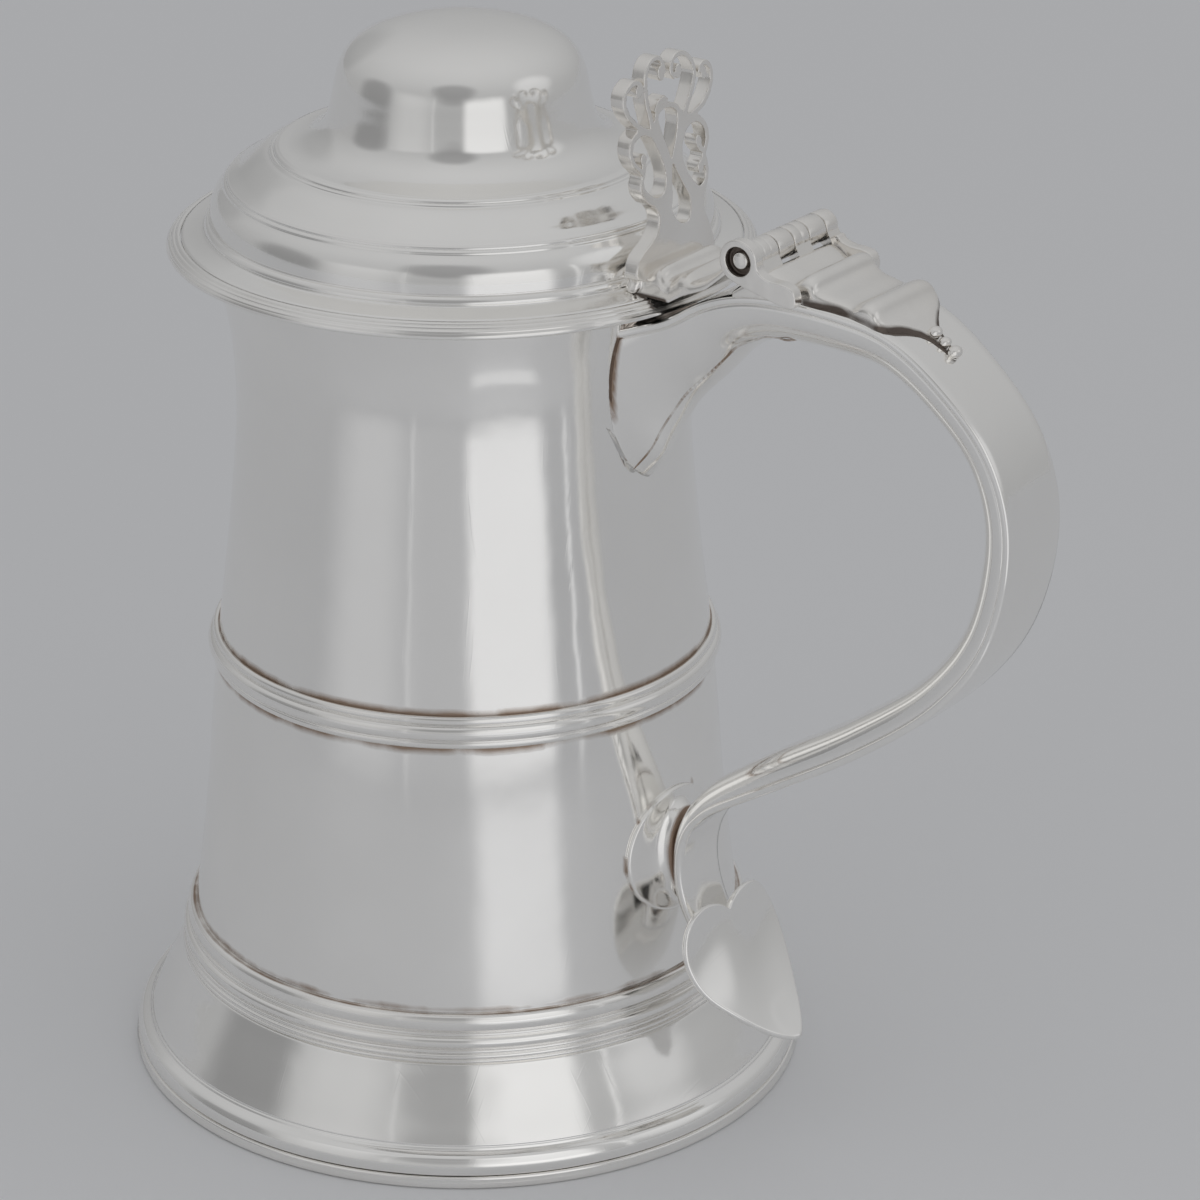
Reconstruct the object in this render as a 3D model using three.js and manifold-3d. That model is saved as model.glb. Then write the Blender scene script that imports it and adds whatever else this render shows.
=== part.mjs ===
// Lidded silver tankard: tapered drum on a spreading foot, hollow scroll handle,
// stepped domed lid on a five-knuckle hinge, and a pierced thumbpiece.
// Millimetres, +Z up. The handle points along +X and the hinge pin lies along Y.
import * as THREE from 'three';
import Module from 'manifold-3d';
import { mergeVertices } from 'three/addons/utils/BufferGeometryUtils.js';

const wasm = await Module();
wasm.setup();

// ---- driving dimensions -------------------------------------------------------------
const footRadius = 64;
const handleReach = 122;          // from the drum's axis to the back of the handle
const drumWall = 1.2;
const drumBase = 27;              // height of the drum's lower edge
const drumTop = 160.2;            // height of the lip
const joint = 0.25;               // clearance left at every soldered joint
const roundSteps = 40;            // facets around the drum, foot and lid
const axisX = (footRadius - handleReach) / 2;   // drum axis, so the whole is centred on X

const hinge = { x: 69.5, z: 173.3, barrel: 2.7, pin: 0.95, bore: 1.2 };
const strapThick = 1.5;
const shellThick = 1.1;

// drum wall outside: height, radius
const drumOutline = [
  [27, 52.0], [50, 49.1], [80, 46.5], [108, 43.2], [132, 41.5], [147, 42.7], [160.2, 46.6],
];

// back of the handle in the XZ plane, from inside the drum round to the lower end,
// each with the handle's half width and depth there
const handleRoute = [
  { x: 30, z: 148.0, half: 13.5, depth: 26.5 },
  { x: 38, z: 152.4, half: 12.2, depth: 21.5 },
  { x: 46, z: 155.6, half: 11.0, depth: 15.6 },
  { x: 52.4, z: 158.4, half: 10.7, depth: 11.8 },
  { x: 57, z: 161.8, half: 10.6, depth: 10.4 },
  { x: 62.4, z: 164.6, half: 10.6, depth: 9.6 },
  { x: 70, z: 166.7, half: 10.5, depth: 9.4 },
  { x: 84, z: 167.1, half: 10.2, depth: 9.4 },
  { x: 97, z: 165.0, half: 9.4, depth: 8.9 },
  { x: 108.4, z: 157.6, half: 8.8, depth: 8.4 },
  { x: 117.2, z: 148.4, half: 8.5, depth: 8.1 },
  { x: 121.7, z: 137, half: 8.4, depth: 8.0 },
  { x: 121.6, z: 124.5, half: 8.2, depth: 7.8 },
  { x: 117.4, z: 110.6, half: 7.8, depth: 7.2 },
  { x: 107.8, z: 97.6, half: 7.3, depth: 6.6 },
  { x: 92, z: 84.6, half: 6.9, depth: 6.5 },
  { x: 75, z: 73.5, half: 6.6, depth: 6.2 },
  { x: 66.6, z: 68.2, half: 6.4, depth: 5.6 },
  { x: 60.2, z: 64.0, half: 6.3, depth: 4.9 },
  { x: 56.1, z: 59.4, half: 6.2, depth: 4.0 },
  { x: 54.4, z: 54.4, half: 6.2, depth: 3.4 },
  { x: 54.6, z: 48.6, half: 6.1, depth: 3.4 },
  { x: 56.5, z: 43.0, half: 6.0, depth: 3.5 },
  { x: 59.9, z: 38.0, half: 5.6, depth: 3.5 },
];

// ---- materials ----------------------------------------------------------------------
const finish = {
  polished: [0xd3d2ce, 0.16],
  turned: [0xcbc9c4, 0.2],
  cast: [0xc4c0b8, 0.26],
  inside: [0xbdb9b0, 0.34],
  soldered: [0xc0bbb1, 0.3],
};

const tankard = new THREE.Group();
const body = new THREE.Group();
body.position.x = axisX;
tankard.add(body);

function place(name, geometry, look) {
  const [color, roughness] = finish[look];
  const material = new THREE.MeshStandardMaterial({ color, roughness, metalness: 1 });
  const mesh = new THREE.Mesh(geometry, material);
  mesh.name = name;
  body.add(mesh);
  return mesh;
}

// ---- geometry helpers ---------------------------------------------------------------
function signedVolume(position, index) {
  const a = new THREE.Vector3();
  const b = new THREE.Vector3();
  const c = new THREE.Vector3();
  let total = 0;
  for (let i = 0; i < index.length; i += 3) {
    a.fromBufferAttribute(position, index[i]);
    b.fromBufferAttribute(position, index[i + 1]);
    c.fromBufferAttribute(position, index[i + 2]);
    total += a.dot(b.cross(c)) / 6;
  }
  return total;
}

// joins shared corners and turns the faces outward
function tidy(source) {
  const bare = source.clone();
  bare.deleteAttribute('normal');
  bare.deleteAttribute('uv');
  const merged = mergeVertices(bare, 1e-4);
  const kept = [];
  const old = merged.index.array;
  for (let i = 0; i < old.length; i += 3) {
    const [p, q, r] = [old[i], old[i + 1], old[i + 2]];
    if (p !== q && q !== r && r !== p) kept.push(p, q, r);
  }
  if (signedVolume(merged.attributes.position, kept) < 0) kept.reverse();
  merged.setIndex(kept);
  return merged;
}

function toSolid(geometry) {
  const merged = tidy(geometry);
  return new wasm.Manifold(new wasm.Mesh({
    numProp: 3,
    vertProperties: new Float32Array(merged.attributes.position.array),
    triVerts: new Uint32Array(merged.index.array),
  }));
}

function toGeometry(solid) {
  const mesh = solid.getMesh();
  const geometry = new THREE.BufferGeometry();
  geometry.setAttribute('position', new THREE.BufferAttribute(new Float32Array(mesh.vertProperties), 3));
  geometry.setIndex(new THREE.BufferAttribute(new Uint32Array(mesh.triVerts), 1));
  return geometry;
}

function cut(base, ...tools) {
  let solid = toSolid(base);
  for (const tool of tools) solid = solid.subtract(toSolid(tool));
  return toGeometry(solid);
}

function join(...pieces) {
  let solid = toSolid(pieces[0]);
  for (const piece of pieces.slice(1)) solid = solid.add(toSolid(piece));
  return toGeometry(solid);
}

// closed outline of [radius, height] pairs turned about the Z axis
function turned(outline, steps = roundSteps) {
  const points = outline.map(([r, z]) => new THREE.Vector2(r, z));
  if (outline[0][0] > 0) points.push(points[0].clone());
  return tidy(new THREE.LatheGeometry(points, steps).rotateX(Math.PI / 2));
}

// the same, turned about the hinge line: [radius, distance along Y]
function turnedOnHinge(outline, steps = 16) {
  const points = outline.map(([r, y]) => new THREE.Vector2(r, y));
  if (outline[0][0] > 0) points.push(points[0].clone());
  return tidy(new THREE.LatheGeometry(points, steps).translate(hinge.x, 0, hinge.z));
}

// outline in the XZ plane given as [x, z], pulled out from y0 to y1
function plate(outline, y0, y1) {
  const shape = new THREE.Shape(outline.map(([x, z]) => new THREE.Vector2(x, z)));
  const flat = new THREE.ExtrudeGeometry(shape, { depth: y1 - y0, bevelEnabled: false });
  return tidy(flat.rotateX(Math.PI / 2).translate(0, y1, 0));
}

// solid skinned over equal closed rings, capped by triangulating the end outlines
function loft(rings, endOutline) {
  const count = rings[0].length;
  const points = rings.flat();
  const index = [];
  for (let k = 0; k < rings.length - 1; k += 1) {
    for (let i = 0; i < count; i += 1) {
      const j = (i + 1) % count;
      const [a, b] = [k * count + i, k * count + j];
      const [c, d] = [a + count, b + count];
      index.push(a, b, d, a, d, c);
    }
  }
  const ends = [[0, endOutline(0)], [rings.length - 1, endOutline(rings.length - 1)]];
  for (const [ring, outline] of ends) {
    const faces = THREE.ShapeUtils.triangulateShape(outline, []);
    const start = ring * count;
    for (const [a, b, c] of faces) {
      if (ring === 0) index.push(start + c, start + b, start + a);
      else index.push(start + a, start + b, start + c);
    }
  }
  const geometry = new THREE.BufferGeometry().setFromPoints(points);
  geometry.setIndex(index);
  return tidy(geometry);
}

// closed skin between a lower and an upper grid that share their rim
function cushion(columns, rows, lower, upper) {
  const points = [];
  const index = [];
  for (const surface of [lower, upper]) {
    for (let i = 0; i <= columns; i += 1) {
      for (let j = 0; j <= rows; j += 1) points.push(surface(i / columns, j / rows));
    }
  }
  const size = (columns + 1) * (rows + 1);
  const at = (layer, i, j) => layer * size + i * (rows + 1) + j;
  const quad = (a, b, c, d) => index.push(a, b, c, a, c, d);
  for (let i = 0; i < columns; i += 1) {
    for (let j = 0; j < rows; j += 1) {
      quad(at(0, i, j), at(0, i, j + 1), at(0, i + 1, j + 1), at(0, i + 1, j));
      quad(at(1, i, j), at(1, i + 1, j), at(1, i + 1, j + 1), at(1, i, j + 1));
    }
    quad(at(0, i, 0), at(0, i + 1, 0), at(1, i + 1, 0), at(1, i, 0));
    quad(at(0, i + 1, rows), at(0, i, rows), at(1, i, rows), at(1, i + 1, rows));
  }
  for (let j = 0; j < rows; j += 1) {
    quad(at(0, 0, j + 1), at(0, 0, j), at(1, 0, j), at(1, 0, j + 1));
    quad(at(0, columns, j), at(0, columns, j + 1), at(1, columns, j + 1), at(1, columns, j));
  }
  const geometry = new THREE.BufferGeometry().setFromPoints(points);
  geometry.setIndex(index);
  return tidy(geometry);
}

const mix = THREE.MathUtils.lerp;
const ease = (value, low, high) => THREE.MathUtils.smoothstep(value, low, high);

// ---- drum ---------------------------------------------------------------------------
const drumCurve = new THREE.SplineCurve(drumOutline.map(([z, r]) => new THREE.Vector2(r, z)));
const drumSteps = 8;
const drumSide = drumCurve.getPoints(drumSteps).map((p) => [p.x, p.y]);

function drumRadius(z) {
  for (let i = 0; i < drumSide.length - 1; i += 1) {
    const [r0, z0] = drumSide[i];
    const [r1, z1] = drumSide[i + 1];
    if (z <= z1) return mix(r0, r1, (z - z0) / (z1 - z0));
  }
  return drumSide[drumSteps][0];
}

function ringWall(side, thickness) {
  const inner = side.map(([r, z]) => [r - thickness, z]).reverse();
  return [...side, ...inner];
}

place('drum', turned(ringWall(drumSide, drumWall)), 'polished');

const bottomHeight = drumBase + 1.6;
const bottomRadius = drumRadius(bottomHeight) - drumWall - joint;
place('drum_bottom', turned([
  [0, bottomHeight - 1.8], [bottomRadius * 0.6, bottomHeight - 1.2], [bottomRadius, bottomHeight],
  [bottomRadius, bottomHeight + 1.2], [bottomRadius * 0.6, bottomHeight], [0, bottomHeight - 0.6],
]), 'inside');

// reeded band soldered round the middle of the drum
const bandLow = 80;
const bandHigh = 86.2;
function bandOut(z) {
  return drumRadius(z) + joint;
}
place('mid_band', turned([
  [bandOut(bandLow), bandLow], [bandOut(bandLow) + 0.7, bandLow + 0.1],
  [bandOut(bandLow) + 1.1, bandLow + 0.8], [bandOut(bandLow) + 0.8, bandLow + 1.5],
  [bandOut(bandLow) + 1.5, bandLow + 2.2], [bandOut(bandLow) + 1.9, bandLow + 3.1],
  [bandOut(bandHigh) + 1.7, bandHigh - 2.2], [bandOut(bandHigh) + 0.9, bandHigh - 1.5],
  [bandOut(bandHigh) + 1.1, bandHigh - 0.8], [bandOut(bandHigh) + 0.6, bandHigh - 0.1],
  [bandOut(bandHigh), bandHigh],
]), 'turned');

// thin wire that stiffens the lip, hidden under the lid's flange
const lipFoot = 157.8;
place('lip_wire', turned([
  [drumRadius(lipFoot) + joint, lipFoot], [47.5, 157.9], [48.1, 158.8], [47.7, 159.8],
  [drumRadius(drumTop) + joint, drumTop],
]), 'turned');

// ---- foot ---------------------------------------------------------------------------
const neckRadius = 51.4;
const collarLow = 20.7;
const collarHigh = 29.6;
const rimHigh = 2.2;
place('foot_collar', turned([
  [neckRadius + joint + 0.5, collarLow], [54.2, collarLow], [54.7, 21.4], [54.2, 22.2],
  [54.4, 22.8], [54.6, 23.9], [54.0, 25.0], [53.1, 25.4], [53.6, 26.2], [53.7, 27.4],
  [53.2, 28.7], [52.4, collarHigh], [drumRadius(collarHigh) + joint, collarHigh],
  [drumRadius(drumBase) + joint, drumBase],
]), 'turned');

place('foot_skirt', turned([
  [neckRadius, drumBase - joint], [neckRadius, 20.4], [54.3, 20.3], [55.4, 18.3],
  [57.0, 15.2], [58.8, 11.8], [60.3, 8.6], [61.0, 6.5], [62.2, 6.2], [63.3, 5.2],
  [63.7, 4.0], [63.5, rimHigh + joint], [61.3, rimHigh + joint], [59.0, 8.6], [55.6, 15.2],
  [53.2, 19.2], [50.2, 19.3], [50.2, drumBase - joint],
]), 'polished');

place('foot_rim_wire', turned([
  [61.2, 0], [63.8, 0], [footRadius, 0.4], [63.9, 1.7], [63.6, rimHigh], [61.2, rimHigh],
]), 'turned');

// ---- handle -------------------------------------------------------------------------
const routeCurve = new THREE.CatmullRomCurve3(
  handleRoute.map(({ x, z }) => new THREE.Vector3(x, 0, z)),
  false,
  'centripetal',
);
const handleStations = 46;

// place, direction and size of the handle a fraction t of the way along its route
function handleAt(t) {
  const slot = t * (handleRoute.length - 1);
  const low = Math.min(Math.floor(slot), handleRoute.length - 2);
  const blend = slot - low;
  const [a, b] = [handleRoute[low], handleRoute[low + 1]];
  const origin = routeCurve.getPoint(t);
  const along = routeCurve.getTangent(t);
  const inward = new THREE.Vector3(along.z, 0, -along.x);
  const half = mix(a.half, b.half, blend);
  const depth = mix(a.depth, b.depth, blend);
  return { origin, inward, half, depth };
}

// outline across the handle as [y, distance in from the back] pairs, made solid in place
function sweepHandle(outlineAt, from = 0, to = 1, stations = handleStations) {
  const outlines = [];
  const rings = [];
  for (let k = 0; k <= stations; k += 1) {
    const t = mix(from, to, k / stations);
    const { origin, inward, half, depth } = handleAt(t);
    const outline = outlineAt(half, depth, t);
    outlines.push(outline.map(([y, v]) => new THREE.Vector2(y, v)));
    rings.push(outline.map(([y, v]) => (
      new THREE.Vector3(origin.x + inward.x * v, y, origin.z + inward.z * v)
    )));
  }
  return loft(rings, (ring) => outlines[ring]);
}

function strapOutline(half) {
  const edge = 0.35;
  return [
    [-half, edge], [-half + edge, 0], [half - edge, 0], [half, edge],
    [half, strapThick], [-half, strapThick],
  ];
}

// half of a rounded trough; near the drum it sharpens to a keel
function troughSide(half, depth, roundness, steps = 4) {
  const top = strapThick + joint;
  const side = [];
  for (let i = 0; i <= steps; i += 1) {
    const angle = (i / steps) * (Math.PI / 2);
    side.push([
      half * Math.cos(angle) ** (2 / roundness),
      top + (depth - top) * Math.sin(angle) ** (2 / roundness),
    ]);
  }
  return side;
}

function shellOutline(half, depth, t) {
  const roundness = mix(1.5, 2.6, ease(t, 0.08, 0.24));
  const outer = troughSide(half - 0.5, depth, roundness);
  const inner = troughSide(half - 0.5 - shellThick, depth - shellThick, roundness);
  const mirror = (side) => side.slice(0, -1).map(([y, v]) => [-y, v]).reverse();
  return [...outer, ...mirror(outer), ...mirror(inner).reverse(), ...inner.slice().reverse()];
}

// solid of revolution that clears the drum and its lip
const drumClear = turned([
  [0, 20], ...drumSide.map(([r, z]) => [r + joint, z]), [drumRadius(drumTop) + joint, 170], [0, 170],
]);

const ventHole = new THREE.CylinderGeometry(1.1, 1.1, 8, 16)
  .rotateZ(Math.PI / 2)
  .translate(53.5, 0, 43.0);

place('handle_strap', cut(
  sweepHandle((half) => strapOutline(half)),
  drumClear,
), 'polished');

place('handle_shell', cut(
  sweepHandle(shellOutline),
  drumClear,
  ventHole,
), 'polished');

// small plate that closes the hollow lower end
const endCap = { from: 1.0, reach: 0.9 };
const endSeat = handleAt(endCap.from);
const endAlong = routeCurve.getTangent(endCap.from);
function endRing(distance) {
  const side = troughSide(endSeat.half - 0.6, endSeat.depth, 2.6);
  const outline = [...side, ...side.slice(0, -1).map(([y, v]) => [-y, v]).reverse()];
  return outline.map(([y, v]) => new THREE.Vector3(
    endSeat.origin.x + endSeat.inward.x * v + endAlong.x * distance,
    y,
    endSeat.origin.z + endSeat.inward.z * v + endAlong.z * distance,
  ));
}
const endRings = [endRing(joint), endRing(joint + endCap.reach)];
place('handle_end_cap', loft(
  endRings,
  (ring) => endRings[ring].map((p) => new THREE.Vector2(p.y, p.x * endSeat.inward.x + p.z * endSeat.inward.z)),
), 'soldered');

// oval boss between the drum and the back of the scroll
const pad = { z: 52.6, halfHeight: 11.6, halfWidth: 13, rim: 0.55, boss: 1.6 };
function padPoint(spread, turn, lift) {
  const angle = turn * 2 * Math.PI;
  const z = pad.z + pad.halfHeight * spread * Math.sin(angle);
  const azimuth = (pad.halfWidth / drumRadius(pad.z)) * spread * Math.cos(angle);
  const radius = drumRadius(z) + lift;
  return new THREE.Vector3(radius * Math.cos(azimuth), radius * Math.sin(azimuth), z);
}
const padTurns = 24;
const padShells = [
  [1, joint], [1, joint + pad.rim], [0.8, joint + pad.rim + 0.1], [0.6, joint + 0.95],
  [0.45, joint + pad.boss * 0.9], [0.2, joint + pad.boss],
];
const padRings = padShells.map(([spread, lift]) => (
  Array.from({ length: padTurns }, (_, i) => padPoint(spread, i / padTurns, lift))
));
place('handle_pad', cut(
  loft(padRings, (ring) => padRings[ring].map((p) => new THREE.Vector2(p.y, p.z))),
  sweepHandle((half, depth) => [[-half, -1], [half, -1], [half, depth + joint], [-half, depth + joint]], 0.7, 1, 14),
  drumClear,
), 'soldered');

// heart-shaped plate on the end of the handle, its point kicked outward
const heart = { half: 14, lobe: 7.4, notch: 2.4, widest: 8, length: 30.6, thick: 1.2 };
const heartBend = new THREE.CatmullRomCurve3([
  [60.6, 45.9], [61.7, 41.6], [63.4, 37.2], [66.2, 32.4], [70.0, 28.0], [74.0, 24.6], [77.6, 22.3],
].map(([x, z]) => new THREE.Vector3(x, 0, z)));
function heartTop(x) {
  const away = Math.abs(x);
  if (away < heart.lobe) return heart.notch * ((heart.lobe - away) / heart.lobe) ** 2.2;
  const swing = (away - heart.lobe) / (heart.half - heart.lobe);
  return heart.widest * (1 - Math.sqrt(Math.max(0, 1 - swing * swing)));
}
function heartBottom(x) {
  const inward = 1 - Math.abs(x) / heart.half;
  return heart.widest + (heart.length - heart.widest) * inward ** 0.53;
}
function heartPoint(u, v, depth) {
  const x = heart.half * Math.sin((u - 0.5) * Math.PI);
  const down = mix(heartTop(x), heartBottom(x), v);
  const t = THREE.MathUtils.clamp(down / heart.length, 0, 1);
  const spot = heartBend.getPointAt(t);
  const along = heartBend.getTangentAt(t);
  const crown = 0.9 * (x / heart.half) ** 2;
  return new THREE.Vector3(
    spot.x + along.z * (depth + crown),
    x,
    spot.z - along.x * (depth + crown),
  );
}
place('heart_terminal', cushion(
  14,
  6,
  (u, v) => heartPoint(u, v, heart.thick),
  (u, v) => heartPoint(u, v, 0),
), 'polished');

// ---- hinge on the handle --------------------------------------------------------------
const barrelClear = turnedOnHinge([[0, -16], [hinge.barrel + joint, -16], [hinge.barrel + joint, 16], [0, 16]]);
const cheekClear = turnedOnHinge([[0, -16], [4.1, -16], [4.1, -10.6], [0, -10.6]]);
// everything from just above the back of the strap inward
const strapClear = sweepHandle(() => [[-15, -joint], [15, -joint], [15, 8], [-15, 8]], 0.13, 0.48, 18);

const hingePlateOutline = [
  [66.8, 164.0], [67.6, 166.9], [72.0, 169.5], [73.4, 170.9], [77.0, 169.9], [78.8, 170.3],
  [79.6, 171.4], [80.9, 171.9], [82.2, 171.2], [83.0, 169.7], [84.8, 169.1], [89.8, 168.3],
  [91.2, 169.2], [93.2, 169.5], [94.6, 168.6], [95.2, 166.8], [95.2, 162.0], [80.0, 162.0],
];
// plan of the plate: waisted between its ridges
const hingePlatePlan = [
  [64, 11.5], [73, 11.2], [76, 10.2], [79, 9.9], [83, 9.8], [85, 8.8], [89, 8.6], [92, 9.2], [95.3, 9.3],
];
function planSolid(plan, low, high) {
  const near = plan.map(([x, half]) => new THREE.Vector2(x, -half));
  const far = plan.slice().reverse().map(([x, half]) => new THREE.Vector2(x, half));
  const shape = new THREE.Shape([...near, ...far]);
  return tidy(new THREE.ExtrudeGeometry(shape, { depth: high - low, bevelEnabled: false })
    .translate(0, 0, low));
}
function common(first, second) {
  return toGeometry(toSolid(first).intersect(toSolid(second)));
}

const cheek = plate([[69.6, 168.6], [73.4, 171.3], [79.6, 169.6], [80.2, 168.2], [76, 165.2], [70, 165.2]], -13.2, -10.8);
place('hinge_plate', cut(
  join(common(plate(hingePlateOutline, -14, 14), planSolid(hingePlatePlan, 160, 180)), cheek),
  strapClear,
  barrelClear,
  cheekClear,
), 'cast');

// shield-shaped drop lying on the back of the handle
const dropPlan = [[95.5, 9.2], [96.6, 8.4], [98.0, 6.4], [99.0, 4.0], [99.6, 1.5], [99.8, 0.9]];
const dropTop = sweepHandle((half) => [
  [-11, 2], [-11, -0.7], [-6, -1.4], [0, -1.8], [6, -1.4], [11, -0.7], [11, 2],
], 0.26, 0.48, 12);
place('hinge_drop', cut(common(dropTop, planSolid(dropPlan, 150, 180)), strapClear), 'cast');

// three graduated beads in a row below the drop
const beads = [{ x: 100.9, radius: 0.9 }, { x: 102.7, radius: 0.75 }, { x: 104.4, radius: 0.8 }];
function backHeight(x) {
  let [low, high] = [0.2, 0.47];
  for (let i = 0; i < 24; i += 1) {
    const middle = (low + high) / 2;
    if (routeCurve.getPoint(middle).x < x) low = middle;
    else high = middle;
  }
  return routeCurve.getPoint(low).z;
}
beads.forEach(({ x, radius }, i) => {
  const ball = new THREE.SphereGeometry(radius, 10, 7).translate(x, 0, backHeight(x) + radius * 0.45);
  place(`drop_bead_${i + 1}`, cut(ball, strapClear), 'cast');
});

// knuckles: K1, K3 and K5 belong to the handle, K2 and K4 to the lid
const knuckleEnds = [-13.4, -4.6, 0, 4.6, 9.7, 13.4];
const knuckleGap = 0.12;
function knuckle(number) {
  const [low, high] = [knuckleEnds[number - 1] + knuckleGap, knuckleEnds[number] - knuckleGap];
  const r = hinge.barrel;
  if (number === 1) {
    return turnedOnHinge([
      [hinge.bore, low + 1.3], [2.6, low + 1.3], [2.8, low], [3.5, low], [3.8, low + 0.5],
      [3.8, low + 1.7], [3.4, low + 2.2], [r, low + 2.3], [r, high], [hinge.bore, high],
    ]);
  }
  if (number === 5) {
    return turnedOnHinge([
      [hinge.bore, low], [r, low], [r, high - 0.6], [2.3, high + 0.3], [1.5, high + 0.7],
      [0, high + 0.9], [0, high - 0.6], [hinge.bore, high - 0.6],
    ].reverse());
  }
  return turnedOnHinge([[hinge.bore, low], [r, low], [r, high], [hinge.bore, high]]);
}
// tang that ties a knuckle to the plate or leaf beside it
function tang(number, side) {
  const [low, high] = [knuckleEnds[number - 1] + knuckleGap, knuckleEnds[number] - knuckleGap];
  const [near, far] = side > 0 ? [hinge.x + 1.3, 72.9] : [65.9, hinge.x - 1.3];
  const outline = side > 0
    ? [[near, 171.7], [far, 169.9], [far, 171.1], [near, 174.2]]
    : [[near, 169.9], [far, 171.0], [far, 175.1], [near, 172.2]];
  return plate(outline, number === 1 ? -10.5 : low, high);
}
const boreClear = turnedOnHinge([[0, -16], [hinge.bore, -16], [hinge.bore, 12.4], [0, 12.4]]);
const plateClear = plate([[73.05, 160], [90, 160], [90, 180], [73.05, 180]], -20, 20);
const underClear = plate([[64.5, 160], [66.2, 166.4], [72, 169.75], [73.4, 171.45], [74, 160]], -20, 20);
for (let number = 1; number <= 5; number += 1) {
  const side = number % 2 === 1 ? 1 : -1;
  const tools = side > 0 ? [boreClear, plateClear, underClear] : [boreClear];
  place(`knuckle_${number}`, cut(join(knuckle(number), tang(number, side)), ...tools), 'cast');
}

place('hinge_pin', turnedOnHinge([
  [0, -12.6], [0.7, -12.6], [hinge.pin, -12.2], [hinge.pin, 12.0], [0, 12.0],
], 12), 'soldered');

// ---- lid ------------------------------------------------------------------------------
const flangeEdge = 50.6;
const lidOutside = [
  [0, 200.6], [9, 200.2], [15.5, 198.7], [19.6, 196.4], [21.6, 193.6], [22.7, 189.6],
  [23.6, 185.2], [24.9, 181.6], [27.6, 179.2], [33.3, 177.8], [33.6, 176.7], [35.6, 176.4],
  [38.2, 174.8], [40.2, 173.0], [42.1, 172.1], [42.4, 171.2], [44.2, 169.3], [45.2, 166.9],
  [45.5, 164.6], [46.4, 164.2], [46.8, 162.9], [flangeEdge, 161.9],
];
const lidInside = [
  [flangeEdge, 160.7], [44.9, 161.7], [43.9, 166.6], [41.2, 170.2], [36.6, 173.8], [27.0, 177.6],
  [23.4, 181.2], [21.3, 189.6], [19.0, 195.2], [13.0, 198.2], [0, 199.4],
];
place('lid_cover', turned([...lidOutside, ...lidInside]), 'polished');

place('lid_edge_wire', turned([
  [flangeEdge + joint, 161.8], [51.4, 161.9], [51.8, 161.4], [52.3, 161.3], [52.6, 160.8],
  [53.0, 160.5], [53.3, 159.8], [53.0, 159.4], [flangeEdge + joint, 160.4],
]), 'turned');

// ring inside the lid that drops into the mouth of the drum
place('lid_bezel', turned([
  [42.1, 156.2], [43.0, 156.0], [43.6, 161.6], [43.3, 163.8], [42.3, 163.8],
]), 'inside');

// stepped block that carries the thumbpiece and reaches out to the hinge
const saddleNear = -11.2;
const saddleFar = 8.2;
const saddleOutline = [
  [43, 162.0], [43, 166.3], [49.3, 166.3], [49.8, 167.2], [50.8, 167.8], [51.9, 167.6],
  [52.6, 166.8], [53.5, 166.2], [54.5, 166.7], [55.5, 167.5], [56.9, 167.6], [57.9, 167.0],
  [59.4, 166.9], [62.6, 168.9], [65.6, 171.9], [65.6, 169.5], [61.4, 166.0], [56.6, 163.9],
  [54.2, 162.0],
];
// everything within a joint's width of the cover and its edge wire
const lidClear = turned([
  [0, 158], [53.7, 158], [53.7, 160.4], [52.4, 161.9],
  ...lidOutside.slice(1).reverse().map(([r, z]) => [r + joint, z + joint]),
  [0, 201],
]);
place('lid_saddle', cut(
  plate(saddleOutline, saddleNear, saddleFar),
  lidClear,
  barrelClear,
), 'cast');

// ---- thumbpiece -------------------------------------------------------------------------
// half outline and openings in its own plane: [across, up], mirrored about the middle
const thumb = { foot: 166.6, thickness: 2.8, x: 48.9, y: -0.6, lean: 0.075 };
const thumbEdge = [
  [9.7, 0], [7.4, 2.9], [6.1, 6.2], [6.9, 9.2], [8.9, 11.4], [9.4, 13.4], [8.6, 14.8],
  [10.2, 17.4], [9.6, 20.2], [7.9, 22.4], [10.6, 25.0], [12.7, 28.8], [12.0, 32.0],
  [9.8, 32.8], [7.8, 32.0], [6.6, 34.4], [4.2, 35.9], [1.7, 35.3],
];
const sideHoles = [
  [[5.4, 24.2], [7.4, 25.4], [9.8, 27.6], [10.9, 30.0], [9.6, 31.0], [7.4, 29.4], [5.9, 27.0]],
  [[5.6, 21.8], [3.7, 20.0], [3.1, 17.0], [4.2, 13.6], [6.0, 11.6], [7.4, 11.8], [7.3, 14.4], [8.2, 17.2], [7.6, 20.2]],
];
const middleHoles = [
  [[0, 27.6], [1.2, 27.2], [2.4, 24.9], [3.9, 25.2], [5.2, 28.2], [6.0, 31.4], [4.4, 32.4], [2.4, 31.0], [0, 30.6]],
  [[0, 26.0], [1.5, 25.4], [2.2, 23.6], [1.5, 20.4], [0, 17.6]],
  [[0, 15.8], [0.9, 12.0], [2.0, 8.4], [1.9, 5.8], [0, 4.4]],
];

function mirrored(half) {
  const back = half.filter(([x]) => x > 0).map(([x, z]) => [-x, z]).reverse();
  return [...half, ...back];
}

function smooth(outline, steps) {
  const curve = new THREE.CatmullRomCurve3(
    outline.map(([x, z]) => new THREE.Vector3(x, z, 0)),
    true,
    'centripetal',
  );
  return curve.getPoints(steps).slice(0, -1).map((p) => new THREE.Vector2(p.x, p.y));
}

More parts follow.
